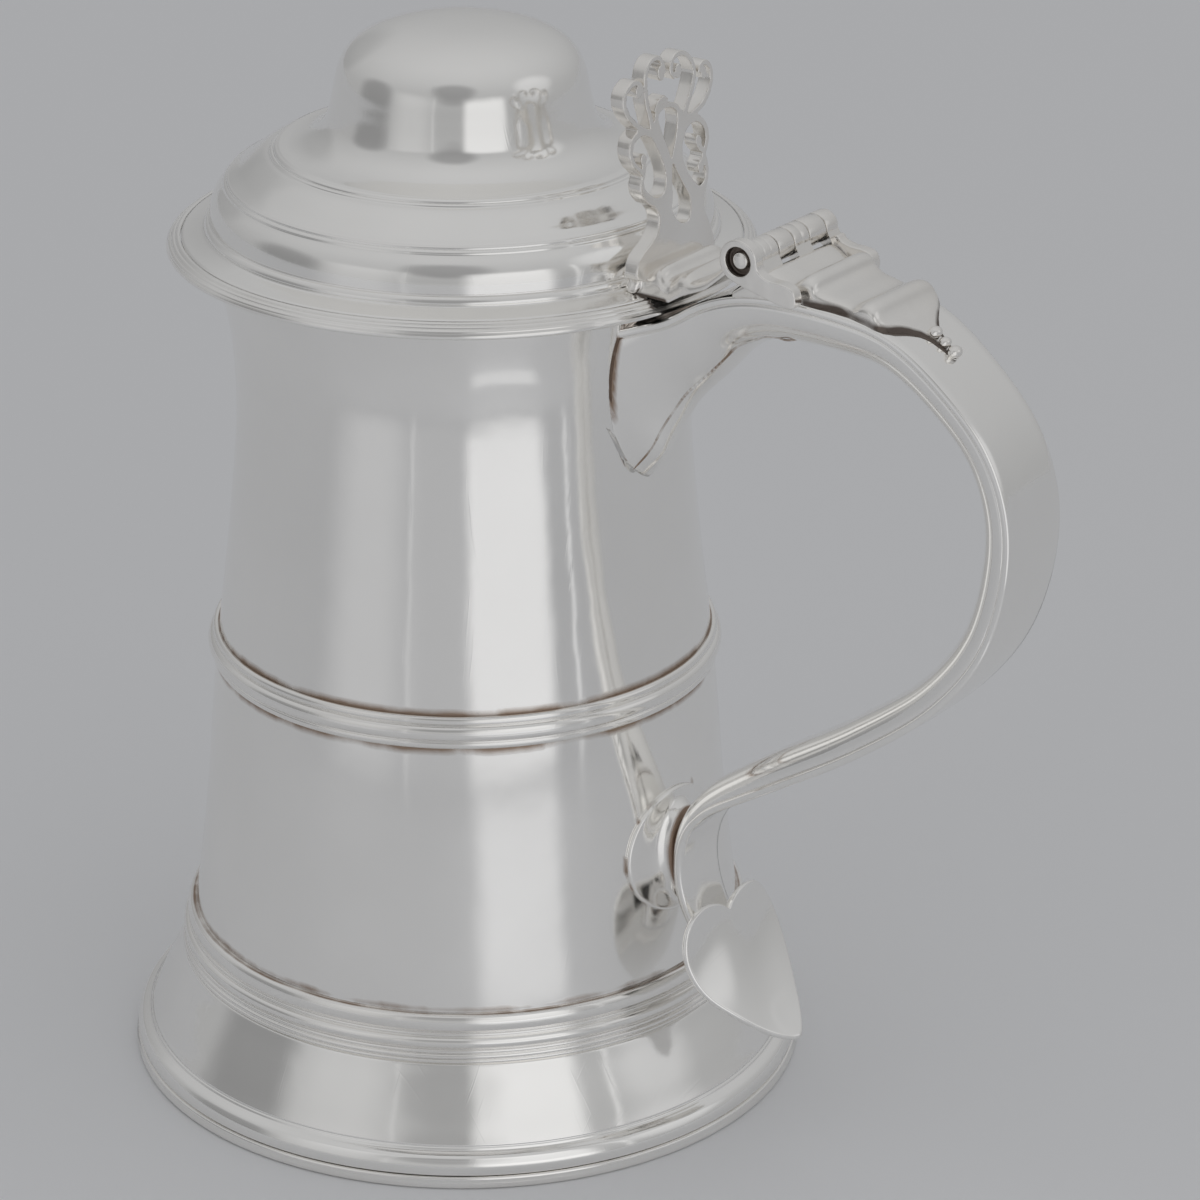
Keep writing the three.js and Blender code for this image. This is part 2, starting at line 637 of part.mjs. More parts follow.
function thumbpiece() {
  const half = thumbEdge;
  const edge = new THREE.SplineCurve(half.map(([x, z]) => new THREE.Vector2(x, z)));
  const right = edge.getPoints(34);
  const left = right.map((p) => new THREE.Vector2(-p.x, p.y)).reverse();
  const shape = new THREE.Shape([...right, new THREE.Vector2(0, 34.0), ...left]);
  for (const hole of sideHoles) {
    shape.holes.push(new THREE.Path(smooth(hole, 13)));
    shape.holes.push(new THREE.Path(smooth(hole.map(([x, z]) => [-x, z]), 13)));
  }
  for (const hole of middleHoles) shape.holes.push(new THREE.Path(smooth(mirrored(hole), 16)));
  const flat = new THREE.ExtrudeGeometry(shape, { depth: thumb.thickness, bevelEnabled: false });
  flat.rotateX(Math.PI / 2).rotateZ(Math.PI / 2);
  const position = flat.attributes.position;
  for (let i = 0; i < position.count; i += 1) {
    const up = position.getZ(i);
    position.setX(i, position.getX(i) - thumb.lean * up);
  }
  return tidy(flat.translate(thumb.x - thumb.thickness, thumb.y, thumb.foot));
}
place('thumbpiece', thumbpiece(), 'cast');

export default tankard;
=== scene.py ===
# Lidded silver tankard: turned body, foot and lid, hollow scroll handle, cast hinge and thumbpiece.
import bpy
import bmesh
import numpy as np
from math import pi, sin, cos, radians, hypot, exp, atan2
from mathutils import Vector, Matrix, noise
from mathutils.bvhtree import BVHTree
from mathutils.kdtree import KDTree


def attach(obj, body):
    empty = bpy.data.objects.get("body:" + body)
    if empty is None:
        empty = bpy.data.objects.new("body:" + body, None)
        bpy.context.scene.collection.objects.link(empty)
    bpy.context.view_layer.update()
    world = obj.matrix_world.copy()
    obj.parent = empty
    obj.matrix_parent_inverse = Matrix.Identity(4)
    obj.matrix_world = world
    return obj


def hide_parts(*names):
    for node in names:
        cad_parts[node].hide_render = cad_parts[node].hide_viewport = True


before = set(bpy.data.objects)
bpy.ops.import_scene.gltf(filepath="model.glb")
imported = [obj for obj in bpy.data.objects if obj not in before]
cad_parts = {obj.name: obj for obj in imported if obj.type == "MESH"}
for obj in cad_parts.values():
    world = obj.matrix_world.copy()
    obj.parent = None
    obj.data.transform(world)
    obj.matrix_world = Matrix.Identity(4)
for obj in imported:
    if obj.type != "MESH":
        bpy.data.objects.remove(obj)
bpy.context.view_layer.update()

mm = 0.001
bodyAxis = -29.0                  # mm from the origin back to the drum's axis
hinge = {"x": 69.5, "z": 173.3}   # pin centre, measured from the drum's axis
scene = bpy.context.scene


# small tools
# soft curve through points with any number of coordinates
def softCurve(points, steps=6):
    pts = [Vector(p) for p in points]
    pts = [2 * pts[0] - pts[1]] + pts + [2 * pts[-1] - pts[-2]]
    out = []
    for a, b, c, d in zip(pts, pts[1:], pts[2:], pts[3:]):
        t1 = max((b - a).length, 1e-6) ** 0.5
        t2 = t1 + max((c - b).length, 1e-6) ** 0.5
        t3 = t2 + max((d - c).length, 1e-6) ** 0.5
        for k in range(steps):
            t = t1 + (t2 - t1) * k / steps
            ab = a * ((t1 - t) / t1) + b * (t / t1)
            bc = b * ((t2 - t) / (t2 - t1)) + c * ((t - t1) / (t2 - t1))
            cd = c * ((t3 - t) / (t3 - t2)) + d * ((t - t2) / (t3 - t2))
            abc = ab * ((t2 - t) / t2) + bc * (t / t2)
            bcd = bc * ((t3 - t) / (t3 - t1)) + cd * ((t - t1) / (t3 - t1))
            out.append(abc * ((t2 - t) / (t2 - t1)) + bcd * ((t - t1) / (t2 - t1)))
    out.append(pts[-2].copy())
    return out


def closedLoop(points, steps=5):
    line = softCurve(points[-2:] + points + points[:2], steps)
    return tuples(line[2 * steps:(2 + len(points)) * steps])


def tuples(points):
    return [tuple(p) for p in points]


# half-round reed between two (r, z) corners, standing proud to the left of its travel
def reed(start, end, proud, steps=8):
    a, b = Vector(start), Vector(end)
    side = Vector((b.y - a.y, a.x - b.x)).normalized() * -1
    return [tuple(a.lerp(b, 0.5 - 0.5 * cos(pi * k / steps)) + side * proud * sin(pi * k / steps)) for k in range(steps + 1)]


def meshObject(name, verts, faces, edges=()):
    mesh = bpy.data.meshes.new(name)
    mesh.from_pydata([tuple(v) for v in verts], list(edges), list(faces))
    mesh.update()
    obj = bpy.data.objects.new(name, mesh)
    scene.collection.objects.link(obj)
    return obj


# the evaluated mesh of an object, in place of the object and its modifiers
def settle(obj, name=None):
    graph = bpy.context.evaluated_depsgraph_get()
    mesh = bpy.data.meshes.new_from_object(obj.evaluated_get(graph))
    name = name or obj.name
    old = obj.data
    bpy.data.objects.remove(obj)
    if old.users == 0 and isinstance(old, bpy.types.Mesh):
        bpy.data.meshes.remove(old)
    done = bpy.data.objects.new(name, mesh)
    mesh.name = name
    scene.collection.objects.link(done)
    return done


def smoothShade(obj):
    obj.data.polygons.foreach_set("use_smooth", [True] * len(obj.data.polygons))
    obj.data.update()


def outward(obj):
    bm = bmesh.new()
    bm.from_mesh(obj.data)
    bmesh.ops.remove_doubles(bm, verts=bm.verts, dist=2e-6)
    bmesh.ops.recalc_face_normals(bm, faces=bm.faces)
    bm.to_mesh(obj.data)
    bm.free()
    smoothShade(obj)


# skin over equal closed rings, with flat fans on the ends
def skin(name, rings, caps=True):
    count = len(rings[0])
    verts = [v * mm for ring in rings for v in ring]
    faces = []
    for k in range(len(rings) - 1):
        for i in range(count):
            j = (i + 1) % count
            faces.append((k * count + i, k * count + j, (k + 1) * count + j, (k + 1) * count + i))
    if caps:
        faces.append(tuple(range(count))[::-1])
        faces.append(tuple((len(rings) - 1) * count + i for i in range(count)))
    obj = meshObject(name, verts, faces)
    outward(obj)
    return obj


# writes how dark each vertex is painted, 0 to 1: brown patina in hollow places and close to the given joints (mm, from
# the drum's axis); near some joints the brown is also painted shade
def markCrevices(obj, hollow=1.0, passes=2, joints=None, reach=1.2, seed=0.0):
    mesh = obj.data
    count = len(mesh.vertices)
    co = np.empty(count * 3)
    mesh.vertices.foreach_get("co", co)
    co = co.reshape(-1, 3)
    normal = np.empty(count * 3)
    mesh.vertices.foreach_get("normal", normal)
    normal = normal.reshape(-1, 3)
    edge = np.empty(len(mesh.edges) * 2, dtype=int)
    mesh.edges.foreach_get("vertices", edge)
    edge = edge.reshape(-1, 2)
    near = np.zeros(count)
    span = np.zeros(count)
    valence = np.bincount(edge.ravel(), minlength=count).clip(1)
    step = co[edge[:, 1]] - co[edge[:, 0]]
    length = np.linalg.norm(step, axis=1)
    np.add.at(near, edge[:, 0], (step * normal[edge[:, 0]]).sum(1))
    np.add.at(near, edge[:, 1], (-step * normal[edge[:, 1]]).sum(1))
    np.add.at(span, edge[:, 0], length)
    np.add.at(span, edge[:, 1], length)
    tarnishShadeAmount = (near / span.clip(1e-9) * 3.2 * hollow).clip(0, 1)
    for _ in range(passes):
        spread = np.zeros(count)
        np.add.at(spread, edge[:, 0], tarnishShadeAmount[edge[:, 1]])
        np.add.at(spread, edge[:, 1], tarnishShadeAmount[edge[:, 0]])
        tarnishShadeAmount = np.maximum(tarnishShadeAmount * 0.6, 0.5 * tarnishShadeAmount + 0.5 * spread / valence)
    if joints:
        tree = KDTree(len(joints))
        for i, p in enumerate(joints):
            tree.insert((p[0] + bodyAxis, p[1], p[2]), i)
        tree.balance()
        for i, p in enumerate(co):
            place = Vector(p) / mm
            gap = tree.find(place)[2]
            if gap < reach * 3.5:
                wander = 0.8 + 0.6 * noise.noise(place * 0.10 + Vector((seed, 0, 3.1))) + 0.25 * noise.noise(place * 0.45)
                tarnishShadeAmount[i] = max(tarnishShadeAmount[i], min(1.0, 1.25 * wander * exp(-(gap / reach) ** 2)))
    layer = mesh.attributes.new("crevice", "FLOAT", "POINT")
    layer.data.foreach_set("value", tarnishShadeAmount.astype(np.float32))
    mesh.update()


# finishes; the brown colour of each is patina in crevices and joints, and painted shade on the hinge plate's sides
finishes = {
    "polished": {"slot": "polished", "light": (0.955, 0.945, 0.925), "shade": (0.925, 0.915, 0.895), "rough": 0.085, "smear": 0.07, "dents": 0.5, "dentSize": 85, "tarnishShadeColour": (0.36, 0.27, 0.21), "tarnishShadeAt": 0.30},
    "turned": {"slot": "turned", "light": (0.945, 0.935, 0.915), "shade": (0.90, 0.885, 0.86), "rough": 0.10, "smear": 0.08, "dents": 0.25, "dentSize": 160, "tarnishShadeColour": (0.30, 0.22, 0.17), "tarnishShadeAt": 0.22},
    "cast": {"slot": "cast", "light": (0.93, 0.915, 0.89), "shade": (0.86, 0.835, 0.80), "rough": 0.15, "smear": 0.10, "dents": 0.35, "dentSize": 300, "tarnishShadeColour": (0.15, 0.125, 0.11), "tarnishShadeAt": 0.20},
    "inside": {"slot": "inside", "light": (0.85, 0.83, 0.80), "shade": (0.76, 0.73, 0.69), "rough": 0.26, "smear": 0.10, "dents": 0.5, "dentSize": 120, "tarnishShadeColour": (0.30, 0.24, 0.19), "tarnishShadeAt": 0.3},
    "soldered": {"slot": "soldered", "light": (0.84, 0.79, 0.74), "shade": (0.56, 0.46, 0.38), "rough": 0.22, "smear": 0.14, "dents": 0.6, "dentSize": 500, "tarnishShadeColour": (0.20, 0.145, 0.11), "tarnishShadeAt": 0.15},
}


def silver(name, settings):
    material = bpy.data.materials.new("silver_" + name)
    material.use_nodes = True
    nodes, links = material.node_tree.nodes, material.node_tree.links
    nodes.clear()

    def node(kind, **values):
        new = nodes.new(kind)
        for key, value in values.items():
            if key in new.inputs:
                new.inputs[key].default_value = value
            else:
                setattr(new, key, value)
        return new

    out = node("ShaderNodeOutputMaterial")
    metal = node("ShaderNodeBsdfPrincipled")
    metal.inputs["Metallic"].default_value = 1.0
    links.new(metal.outputs["BSDF"], out.inputs["Surface"])
    place = node("ShaderNodeTexCoord")

    def cloud(scale, detail=3.0, stretch=None, rough=0.55):
        source = place.outputs["Object"]
        if stretch:
            mapping = node("ShaderNodeMapping")
            mapping.inputs["Rotation"].default_value = stretch[1]
            mapping.inputs["Scale"].default_value = stretch[0]
            links.new(source, mapping.inputs["Vector"])
            source = mapping.outputs["Vector"]
        tex = node("ShaderNodeTexNoise", Scale=scale, Detail=detail, Roughness=rough)
        links.new(source, tex.inputs["Vector"])
        return tex.outputs["Fac"]

    def ramp(source, low, high, first=(0, 0, 0, 1), last=(1, 1, 1, 1)):
        new = node("ShaderNodeValToRGB")
        new.color_ramp.elements[0].position = low
        new.color_ramp.elements[0].color = first
        new.color_ramp.elements[1].position = high
        new.color_ramp.elements[1].color = last
        links.new(source, new.inputs["Fac"])
        return new.outputs["Color"]

    def maths(kind, a, b):
        new = node("ShaderNodeMath", operation=kind)
        for i, value in enumerate((a, b)):
            if isinstance(value, (int, float)):
                new.inputs[i].default_value = value
            else:
                links.new(value, new.inputs[i])
        return new.outputs[0]

    # colour: bright metal, faint cloudy bloom, brown patina in the crevices that is also painted shade in places
    bloom = ramp(cloud(38, 4), 0.35, 0.7, settings["shade"] + (1,), settings["light"] + (1,))
    tarnishShadeAmount = node("ShaderNodeAttribute", attribute_name="crevice").outputs["Fac"]
    patchy = maths("MULTIPLY", tarnishShadeAmount, ramp(cloud(260, 6), 0.25, 0.7, (0.78, 0.78, 0.78, 1)))
    tarnishShadeMask = ramp(patchy, settings["tarnishShadeAt"], settings["tarnishShadeAt"] + 0.5)
    colour = node("ShaderNodeMix", data_type="RGBA")
    links.new(tarnishShadeMask, colour.inputs[0])
    links.new(bloom, colour.inputs[6])
    colour.inputs[7].default_value = settings["tarnishShadeColour"] + (1,)
    links.new(colour.outputs[2], metal.inputs["Base Color"])

    # roughness: polish smears, fine rubbing marks, duller where the brown patina and painted shade lie
    smears = ramp(cloud(60, 5, ((1, 1, 0.35), (0.2, 0.1, 0))), 0.35, 0.8)
    rubbed = ramp(cloud(900, 3, ((1, 0.05, 0.6), (0.3, 0.5, 0.2))), 0.5, 0.75)
    gloss = maths("ADD", maths("MULTIPLY", smears, settings["smear"]), settings["rough"])
    gloss = maths("ADD", gloss, maths("MULTIPLY", rubbed, 0.03))
    gloss = maths("ADD", gloss, maths("MULTIPLY", tarnishShadeMask, 0.28))
    links.new(gloss, metal.inputs["Roughness"])

    # relief: soft hammer dents, hairline scratches, pits where the brown patina and painted shade lie
    dents = node("ShaderNodeBump", Strength=0.35, Distance=0.0006 * settings["dents"])
    links.new(cloud(settings["dentSize"], 1.5), dents.inputs["Height"])
    hairA = ramp(cloud(1500, 2, ((1, 0.03, 0.03), (0.4, 0.9, 0.3)), 0.7), 0.62, 0.7)
    hairB = ramp(cloud(1100, 2, ((0.04, 1, 0.04), (1.2, 0.2, 0.7)), 0.7), 0.64, 0.72)
    hair = maths("MAXIMUM", hairA, hairB)
    scratches = node("ShaderNodeBump", Strength=0.10, Distance=0.00003)
    links.new(hair, scratches.inputs["Height"])
    links.new(dents.outputs["Normal"], scratches.inputs["Normal"])
    pits = node("ShaderNodeBump", Strength=0.5, Distance=0.00012)
    links.new(maths("MULTIPLY", cloud(2600, 3), tarnishShadeMask), pits.inputs["Height"])
    links.new(scratches.outputs["Normal"], pits.inputs["Normal"])
    links.new(pits.outputs["Normal"], metal.inputs["Normal"])
    return material


metals = {name: silver(name, settings) for name, settings in finishes.items()}
print("finishes made:", len(metals))


def finishPiece(obj, finish, body, *nodes, slot=None):
    obj.data.materials.clear()
    obj.data.materials.append(metals[finish])
    if nodes:
        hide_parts(*nodes)
    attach(obj, body)
    return obj


# turned pieces
# one tree turns a flat outline about an axis, dents it a little like hand-raised metal, and gives it its finish
def turnedTree():
    tree = bpy.data.node_groups.new("turned_piece", "GeometryNodeTree")
    face = tree.interface
    face.new_socket("Geometry", in_out="INPUT", socket_type="NodeSocketGeometry")
    sockets = {}
    for label, kind, start in [("Segments", "Int", 192), ("Circle Radius", "Float", 0.05), ("Dent Depth", "Float", 0.0), ("Dent Size", "Float", 30.0), ("Seed", "Float", 1.0)]:
        sockets[label] = face.new_socket(label, in_out="INPUT", socket_type="NodeSocket" + kind)
        sockets[label].default_value = start
    sockets["Finish"] = face.new_socket("Finish", in_out="INPUT", socket_type="NodeSocketMaterial")
    face.new_socket("Geometry", in_out="OUTPUT", socket_type="NodeSocketGeometry")
    nodes, links = tree.nodes, tree.links
    start, end = nodes.new("NodeGroupInput"), nodes.new("NodeGroupOutput")
    outline = nodes.new("GeometryNodeMeshToCurve")
    circle = nodes.new("GeometryNodeCurvePrimitiveCircle")
    sweep = nodes.new("GeometryNodeCurveToMesh")
    weld = nodes.new("GeometryNodeMergeByDistance")
    weld.inputs["Distance"].default_value = 2e-6
    position, normal = nodes.new("GeometryNodeInputPosition"), nodes.new("GeometryNodeInputNormal")
    waves = nodes.new("ShaderNodeTexNoise")
    waves.noise_dimensions = "4D"
    waves.inputs["Detail"].default_value = 2.5
    centre = nodes.new("ShaderNodeMath")
    centre.operation = "SUBTRACT"
    centre.inputs[1].default_value = 0.5
    depth = nodes.new("ShaderNodeMath")
    depth.operation = "MULTIPLY"
    push = nodes.new("ShaderNodeVectorMath")
    push.operation = "SCALE"
    move = nodes.new("GeometryNodeSetPosition")
    shade = nodes.new("GeometryNodeSetShadeSmooth")
    real = nodes.new("GeometryNodeRealizeInstances")
    paint = nodes.new("GeometryNodeSetMaterial")
    for a, b in [
        (start.outputs["Geometry"], outline.inputs[0]), (outline.outputs[0], sweep.inputs["Profile Curve"]),
        (start.outputs["Segments"], circle.inputs["Resolution"]), (start.outputs["Circle Radius"], circle.inputs["Radius"]),
        (circle.outputs[0], sweep.inputs["Curve"]), (sweep.outputs[0], weld.inputs["Geometry"]),
        (position.outputs[0], waves.inputs["Vector"]), (start.outputs["Dent Size"], waves.inputs["Scale"]),
        (start.outputs["Seed"], waves.inputs["W"]), (waves.outputs[0], centre.inputs[0]),
        (centre.outputs[0], depth.inputs[0]), (start.outputs["Dent Depth"], depth.inputs[1]),
        (normal.outputs[0], push.inputs[0]), (depth.outputs[0], push.inputs["Scale"]),
        (weld.outputs[0], move.inputs["Geometry"]), (push.outputs[0], move.inputs["Offset"]),
        (move.outputs[0], shade.inputs[0]), (shade.outputs[0], real.inputs[0]),
        (real.outputs[0], paint.inputs["Geometry"]), (start.outputs["Finish"], paint.inputs["Material"]),
        (paint.outputs[0], end.inputs[0]),
    ]:
        links.new(a, b)
    return tree, {label: socket.identifier for label, socket in sockets.items()}


turning, turningInputs = turnedTree()
circleRadius = 0.05


# outline: (r, z) in mm. upright pieces stand on the drum's axis, the others lie along the hinge
def turn(name, outline, finish, segments=192, dent=0.0, dentSize=30, upright=True, seed=1.0):
    onAxis = abs(outline[0][0]) < 1e-6
    if not onAxis and (Vector(outline[0]) - Vector(outline[-1])).length < 1e-4:
        outline = outline[:-1]
    area = sum(a[0] * b[1] - b[0] * a[1] for a, b in zip(outline, outline[1:] + outline[:1]))
    if area > 0:
        outline = outline[::-1]
    verts = [(p[0] * mm - circleRadius, -p[1] * mm, 0) for p in outline]
    edges = [(i, i + 1) for i in range(len(verts) - 1)]
    if not onAxis:
        edges.append((len(verts) - 1, 0))
    blank = meshObject(name + "Outline", verts, [], edges)
    modifier = blank.modifiers.new("turning", "NODES")
    modifier.node_group = turning
    for label, value in [("Segments", segments), ("Circle Radius", circleRadius), ("Dent Depth", dent * mm), ("Dent Size", float(dentSize)), ("Seed", seed), ("Finish", metals[finish])]:
        modifier[turningInputs[label]] = value
    obj = settle(blank, name)
    if upright:
        place = Matrix.Translation((bodyAxis * mm, 0, 0))
    else:
        place = Matrix.Translation(((hinge["x"] + bodyAxis) * mm, 0, hinge["z"] * mm)) @ Matrix.Rotation(-pi / 2, 4, "X")
    obj.data.transform(place)
    return obj


# drum
drumSet = {
    "side": [(27, 52.0), (50, 49.1), (80, 46.5), (108, 43.2), (132, 41.5), (147, 42.7), (160.2, 46.6)],
    "wall": 1.2, "top": 160.2, "base": 27.0, "dent": 0.22, "dentSize": 30,
}
drumLine = softCurve([(z, r) for z, r in drumSet["side"]], 14)
drumHeights = [p[0] for p in drumLine]
drumRadii = [p[1] for p in drumLine]


def drumRadius(z):
    return float(np.interp(z, drumHeights, drumRadii))


def onDrum(azimuth, z, lift=0.0):
    r = drumRadius(z) + lift
    return Vector((r * cos(azimuth), r * sin(azimuth), z))


def drumOutline():
    outer = [(p[1], p[0]) for p in drumLine]
    outer = outer[:-2] + [(outer[-1][0] - 0.25, 159.7), (outer[-1][0] - 0.1, 160.05), (outer[-1][0] - 0.35, 160.2)]
    inner = [(p[1] - drumSet["wall"], p[0]) for p in drumLine]
    inner = inner[:-1] + [(inner[-1][0] + 0.15, 160.1)]
    return outer + inner[::-1]


# handle route, from inside the drum round to the lower end
handleSet = {
    "route": [
        (30, 148.2, 13.5, 27.0), (38, 152.7, 12.2, 23.6), (46, 156.1, 11.0, 18.2), (52.4, 158.6, 10.7, 13.5),
        (57, 161.8, 10.6, 11.8), (62.4, 164.6, 10.6, 10.6), (70, 166.7, 10.5, 9.7), (84, 167.1, 10.2, 9.4),
        (97, 165.0, 9.4, 8.9), (108.4, 157.6, 8.8, 8.4), (117.2, 148.4, 8.5, 8.1), (121.7, 137, 8.4, 8.0),
        (121.6, 124.5, 8.2, 7.8), (117.4, 110.6, 7.8, 7.2), (107.8, 97.6, 7.3, 6.6), (92, 84.6, 6.9, 6.5),
        (75, 73.5, 6.6, 6.2), (66.6, 68.2, 6.4, 5.6), (60.2, 64.0, 6.3, 4.9), (56.1, 59.4, 6.2, 4.0),
        (54.4, 54.4, 6.2, 3.4), (54.6, 48.6, 6.1, 3.4), (56.5, 43.0, 6.0, 3.5), (59.9, 38.0, 5.6, 3.5),
    ],
    "strap": 1.5, "shell": 1.1, "spacing": 0.8, "easing": 3, "lean": 2.4,
}


# evenly spaced stations along the route, eased so that reflections run smoothly
def handleStations():
    fine = softCurve(handleSet["route"], 24)
    run = [0.0]
    for a, b in zip(fine, fine[1:]):
        run.append(run[-1] + hypot(b[0] - a[0], b[1] - a[1]))
    count = int(run[-1] / handleSet["spacing"])
    spots = np.linspace(0, run[-1], count)
    table = np.array([np.interp(spots, run, [p[i] for p in fine]) for i in range(4)]).T
    for _ in range(handleSet["easing"] * 4):
        table[1:-1] = 0.25 * table[:-2] + 0.5 * table[1:-1] + 0.25 * table[2:]
    along = np.gradient(table[:, :2], axis=0)
    along /= np.linalg.norm(along, axis=1)[:, None]
    stations = []
    for (x, z, half, depth), (ax, az), t in zip(table, along, np.linspace(0, 1, count)):
        stations.append({"spot": Vector((x, 0, z)), "inward": Vector((az, 0, -ax)), "along": Vector((ax, 0, az)), "half": half, "depth": depth, "t": t})
    return stations


stations = handleStations()


def handlePoint(station, y, v):
    p = station["spot"] + station["inward"] * v
    p.y = y
    return p


# keeps a point out of the drum's inside: what would reach in is hidden in the wall
def againstDrum(p, bury=0.5):
    r = hypot(p.x, p.y)
    wall = drumRadius(p.z) - bury
    if r < wall:
        p = Vector((p.x * wall / r, p.y * wall / r, p.z))
    return p + Vector((bodyAxis, 0, 0))


def strapRing(station):
    h, t = station["half"], handleSet["strap"]
    back = [(h * k / 6 * 0.955, 0.10 * (k / 6) ** 2) for k in range(-6, 7)]
    rightEdge = [(h - 0.20, 0.19), (h - 0.05, 0.36), (h, 0.6), (h, t - 0.3), (h - 0.12, t - 0.08), (h - 0.35, t)]
    leftEdge = [(-y, v) for y, v in rightEdge][::-1]
    under = [(h * 0.6, t), (0, t), (-h * 0.6, t)]
    return [againstDrum(handlePoint(station, y, v)) for y, v in back + rightEdge + under + leftEdge]


def shellSide(station, inset, steps=16):
    h = station["half"] - 0.55 - inset
    top = handleSet["strap"] - 0.05
    deep = station["depth"] - inset - top
    fade = min(1, max(0, (station["t"] - 0.06) / 0.16))
    fade = fade * fade * (3 - 2 * fade)
    power = 2 / (1.5 + 0.8 * fade)
    side = []
    for k in range(steps + 1):
        a = k / steps * pi / 2
        side.append((h * cos(a) ** power, top + deep * sin(a) ** power))
    return side


# near the drum the keel leans to the thumb's left
def keelLean(station, v):
    early = min(1, max(0, (station["t"] - 0.08) / 0.16))
    down = max(0, v - handleSet["strap"]) / max(station["depth"], 1)
    return -handleSet["lean"] * (1 - early * early * (3 - 2 * early)) * down ** 2


def shellRing(station):
    outer = shellSide(station, 0.0)
    inner = shellSide(station, handleSet["shell"])
    left = [(-y, v) for y, v in outer[:-1]]
    innerLeft = [(-y, v) for y, v in inner[:-1]]
    loop = outer + left[::-1] + innerLeft + inner[::-1]
    return [againstDrum(handlePoint(station, y + keelLean(station, v), v)) for y, v in loop]


def contactLine():
    # where the shell's outside meets the drum, round from one side to the other
    line = []
    count = len(shellSide(stations[0], 0.0))
    for side, order in ((-1, range(count)), (1, range(count - 2, -1, -1))):
        for i in order:
            last = None
            for station in stations[:110]:
                y, v = shellSide(station, 0.0)[i]
                p = handlePoint(station, side * y + keelLean(station, v), v)
                gap = hypot(p.x, p.y) - drumRadius(p.z)
                if last and last[0] < 0 <= gap:
                    line.append(last[1].lerp(p, -last[0] / (gap - last[0])))
                    break
                last = (gap, p)
    return line


contact = contactLine()
for _ in range(8):
    contact = [contact[0]] + [(a + b * 2 + c) / 4 for a, b, c in zip(contact, contact[1:], contact[2:])] + [contact[-1]]
denseContact = tuples(softCurve([tuple(p) for p in contact], 6))
print("handle stations:", len(stations), "contact points:", len(contact))

# boss under the lower scroll
bossSet = {
    "z": 52.6, "turns": 72,
    "rings": [
        (13.0, 11.6, -0.1), (13.0, 11.6, 0.35), (12.93, 11.53, 0.62), (12.75, 11.35, 0.78), (12.4, 11.0, 0.84), (11.4, 10.7, 0.86),
        (9.6, 10.2, 0.88), (8.2, 9.8, 0.98), (7.1, 9.4, 1.22), (6.3, 9.1, 1.6), (5.75, 8.9, 2.1), (5.4, 8.7, 2.7), (5.2, 8.5, 3.3),
    ],
}


def bossRings():
    rings = []
    for half, high, lift in bossSet["rings"]:
        ring = []
        for k in range(bossSet["turns"]):
            a = 2 * pi * k / bossSet["turns"]
            p = onDrum(half * cos(a) / drumRadius(bossSet["z"]), bossSet["z"] + high * sin(a), lift)
            ring.append(p + Vector((bodyAxis, 0, 0)))
        rings.append(ring)
    return rings


bossEdge = [tuple(onDrum(13.1 * cos(a) / drumRadius(52.6), 52.6 + 11.7 * sin(a))) for a in np.linspace(0, 2 * pi, 90)]


def ringLine(r, z, count=1600):
    return [(r * cos(a), r * sin(a), z) for a in np.linspace(0, 2 * pi, count, endpoint=False)]


drum = turn("drum", drumOutline(), "polished", 256, drumSet["dent"], drumSet["dentSize"], seed=3.0)
seams = ringLine(drumRadius(80.1), 80.05) + ringLine(drumRadius(86.2), 86.2) + ringLine(drumRadius(29.9), 29.95)
markCrevices(drum, 0.0, 0, seams + denseContact + bossEdge, 0.42, 1.3)
finishPiece(drum, "polished", "tankard", "drum")

bottom = turn("drumBottom", tuples(softCurve([(0, 26.9), (18, 27.1), (36, 27.6), (49.9, 28.6)], 8) + [Vector((50.2, 28.9))] + softCurve([(49.9, 30.0), (36, 29.0), (18, 28.4), (0, 28.2)], 8)), "inside", 160, 0.15, 40)
markCrevices(bottom)
finishPiece(bottom, "inside", "tankard", "drum_bottom")

# band, lip and foot
bandSet = {"low": 80.0, "high": 86.2}


def bandOutline():
    low, high = bandSet["low"], bandSet["high"]
    base = drumRadius(83) - 0.15
    top, bottomEdge = drumRadius(high) - 0.1, drumRadius(low) - 0.1
    line = [(top, high)]
    line += reed((base + 0.35, high - 0.05), (base + 0.75, high - 1.5), 0.48)
    line += reed((base + 0.80, high - 1.62), (base + 0.90, low + 1.62), 1.05, 14)
    line += reed((base + 0.85, low + 1.5), (base + 0.55, low + 0.05), 0.48)
    line += [(bottomEdge, low)]
    return line


band = turn("midBand", bandOutline(), "turned", 256, 0.05, 60, seed=5.0)
markCrevices(band, 1.2, 1, ringLine(drumRadius(79.9) + 0.2, 79.9) + ringLine(drumRadius(86.3) + 0.2, 86.3), 0.24, 4.2)
finishPiece(band, "turned", "tankard", "mid_band")

lipWire = turn("lipWire", [(drumRadius(157.6) - 0.1, 157.7)] + reed((drumRadius(159.9) + 0.2, 160.0), (drumRadius(157.8), 157.8), 1.3, 10)[::-1] + [(drumRadius(160) - 0.3, 160.1)], "turned", 192)
markCrevices(lipWire)
finishPiece(lipWire, "turned", "tankard", "lip_wire")

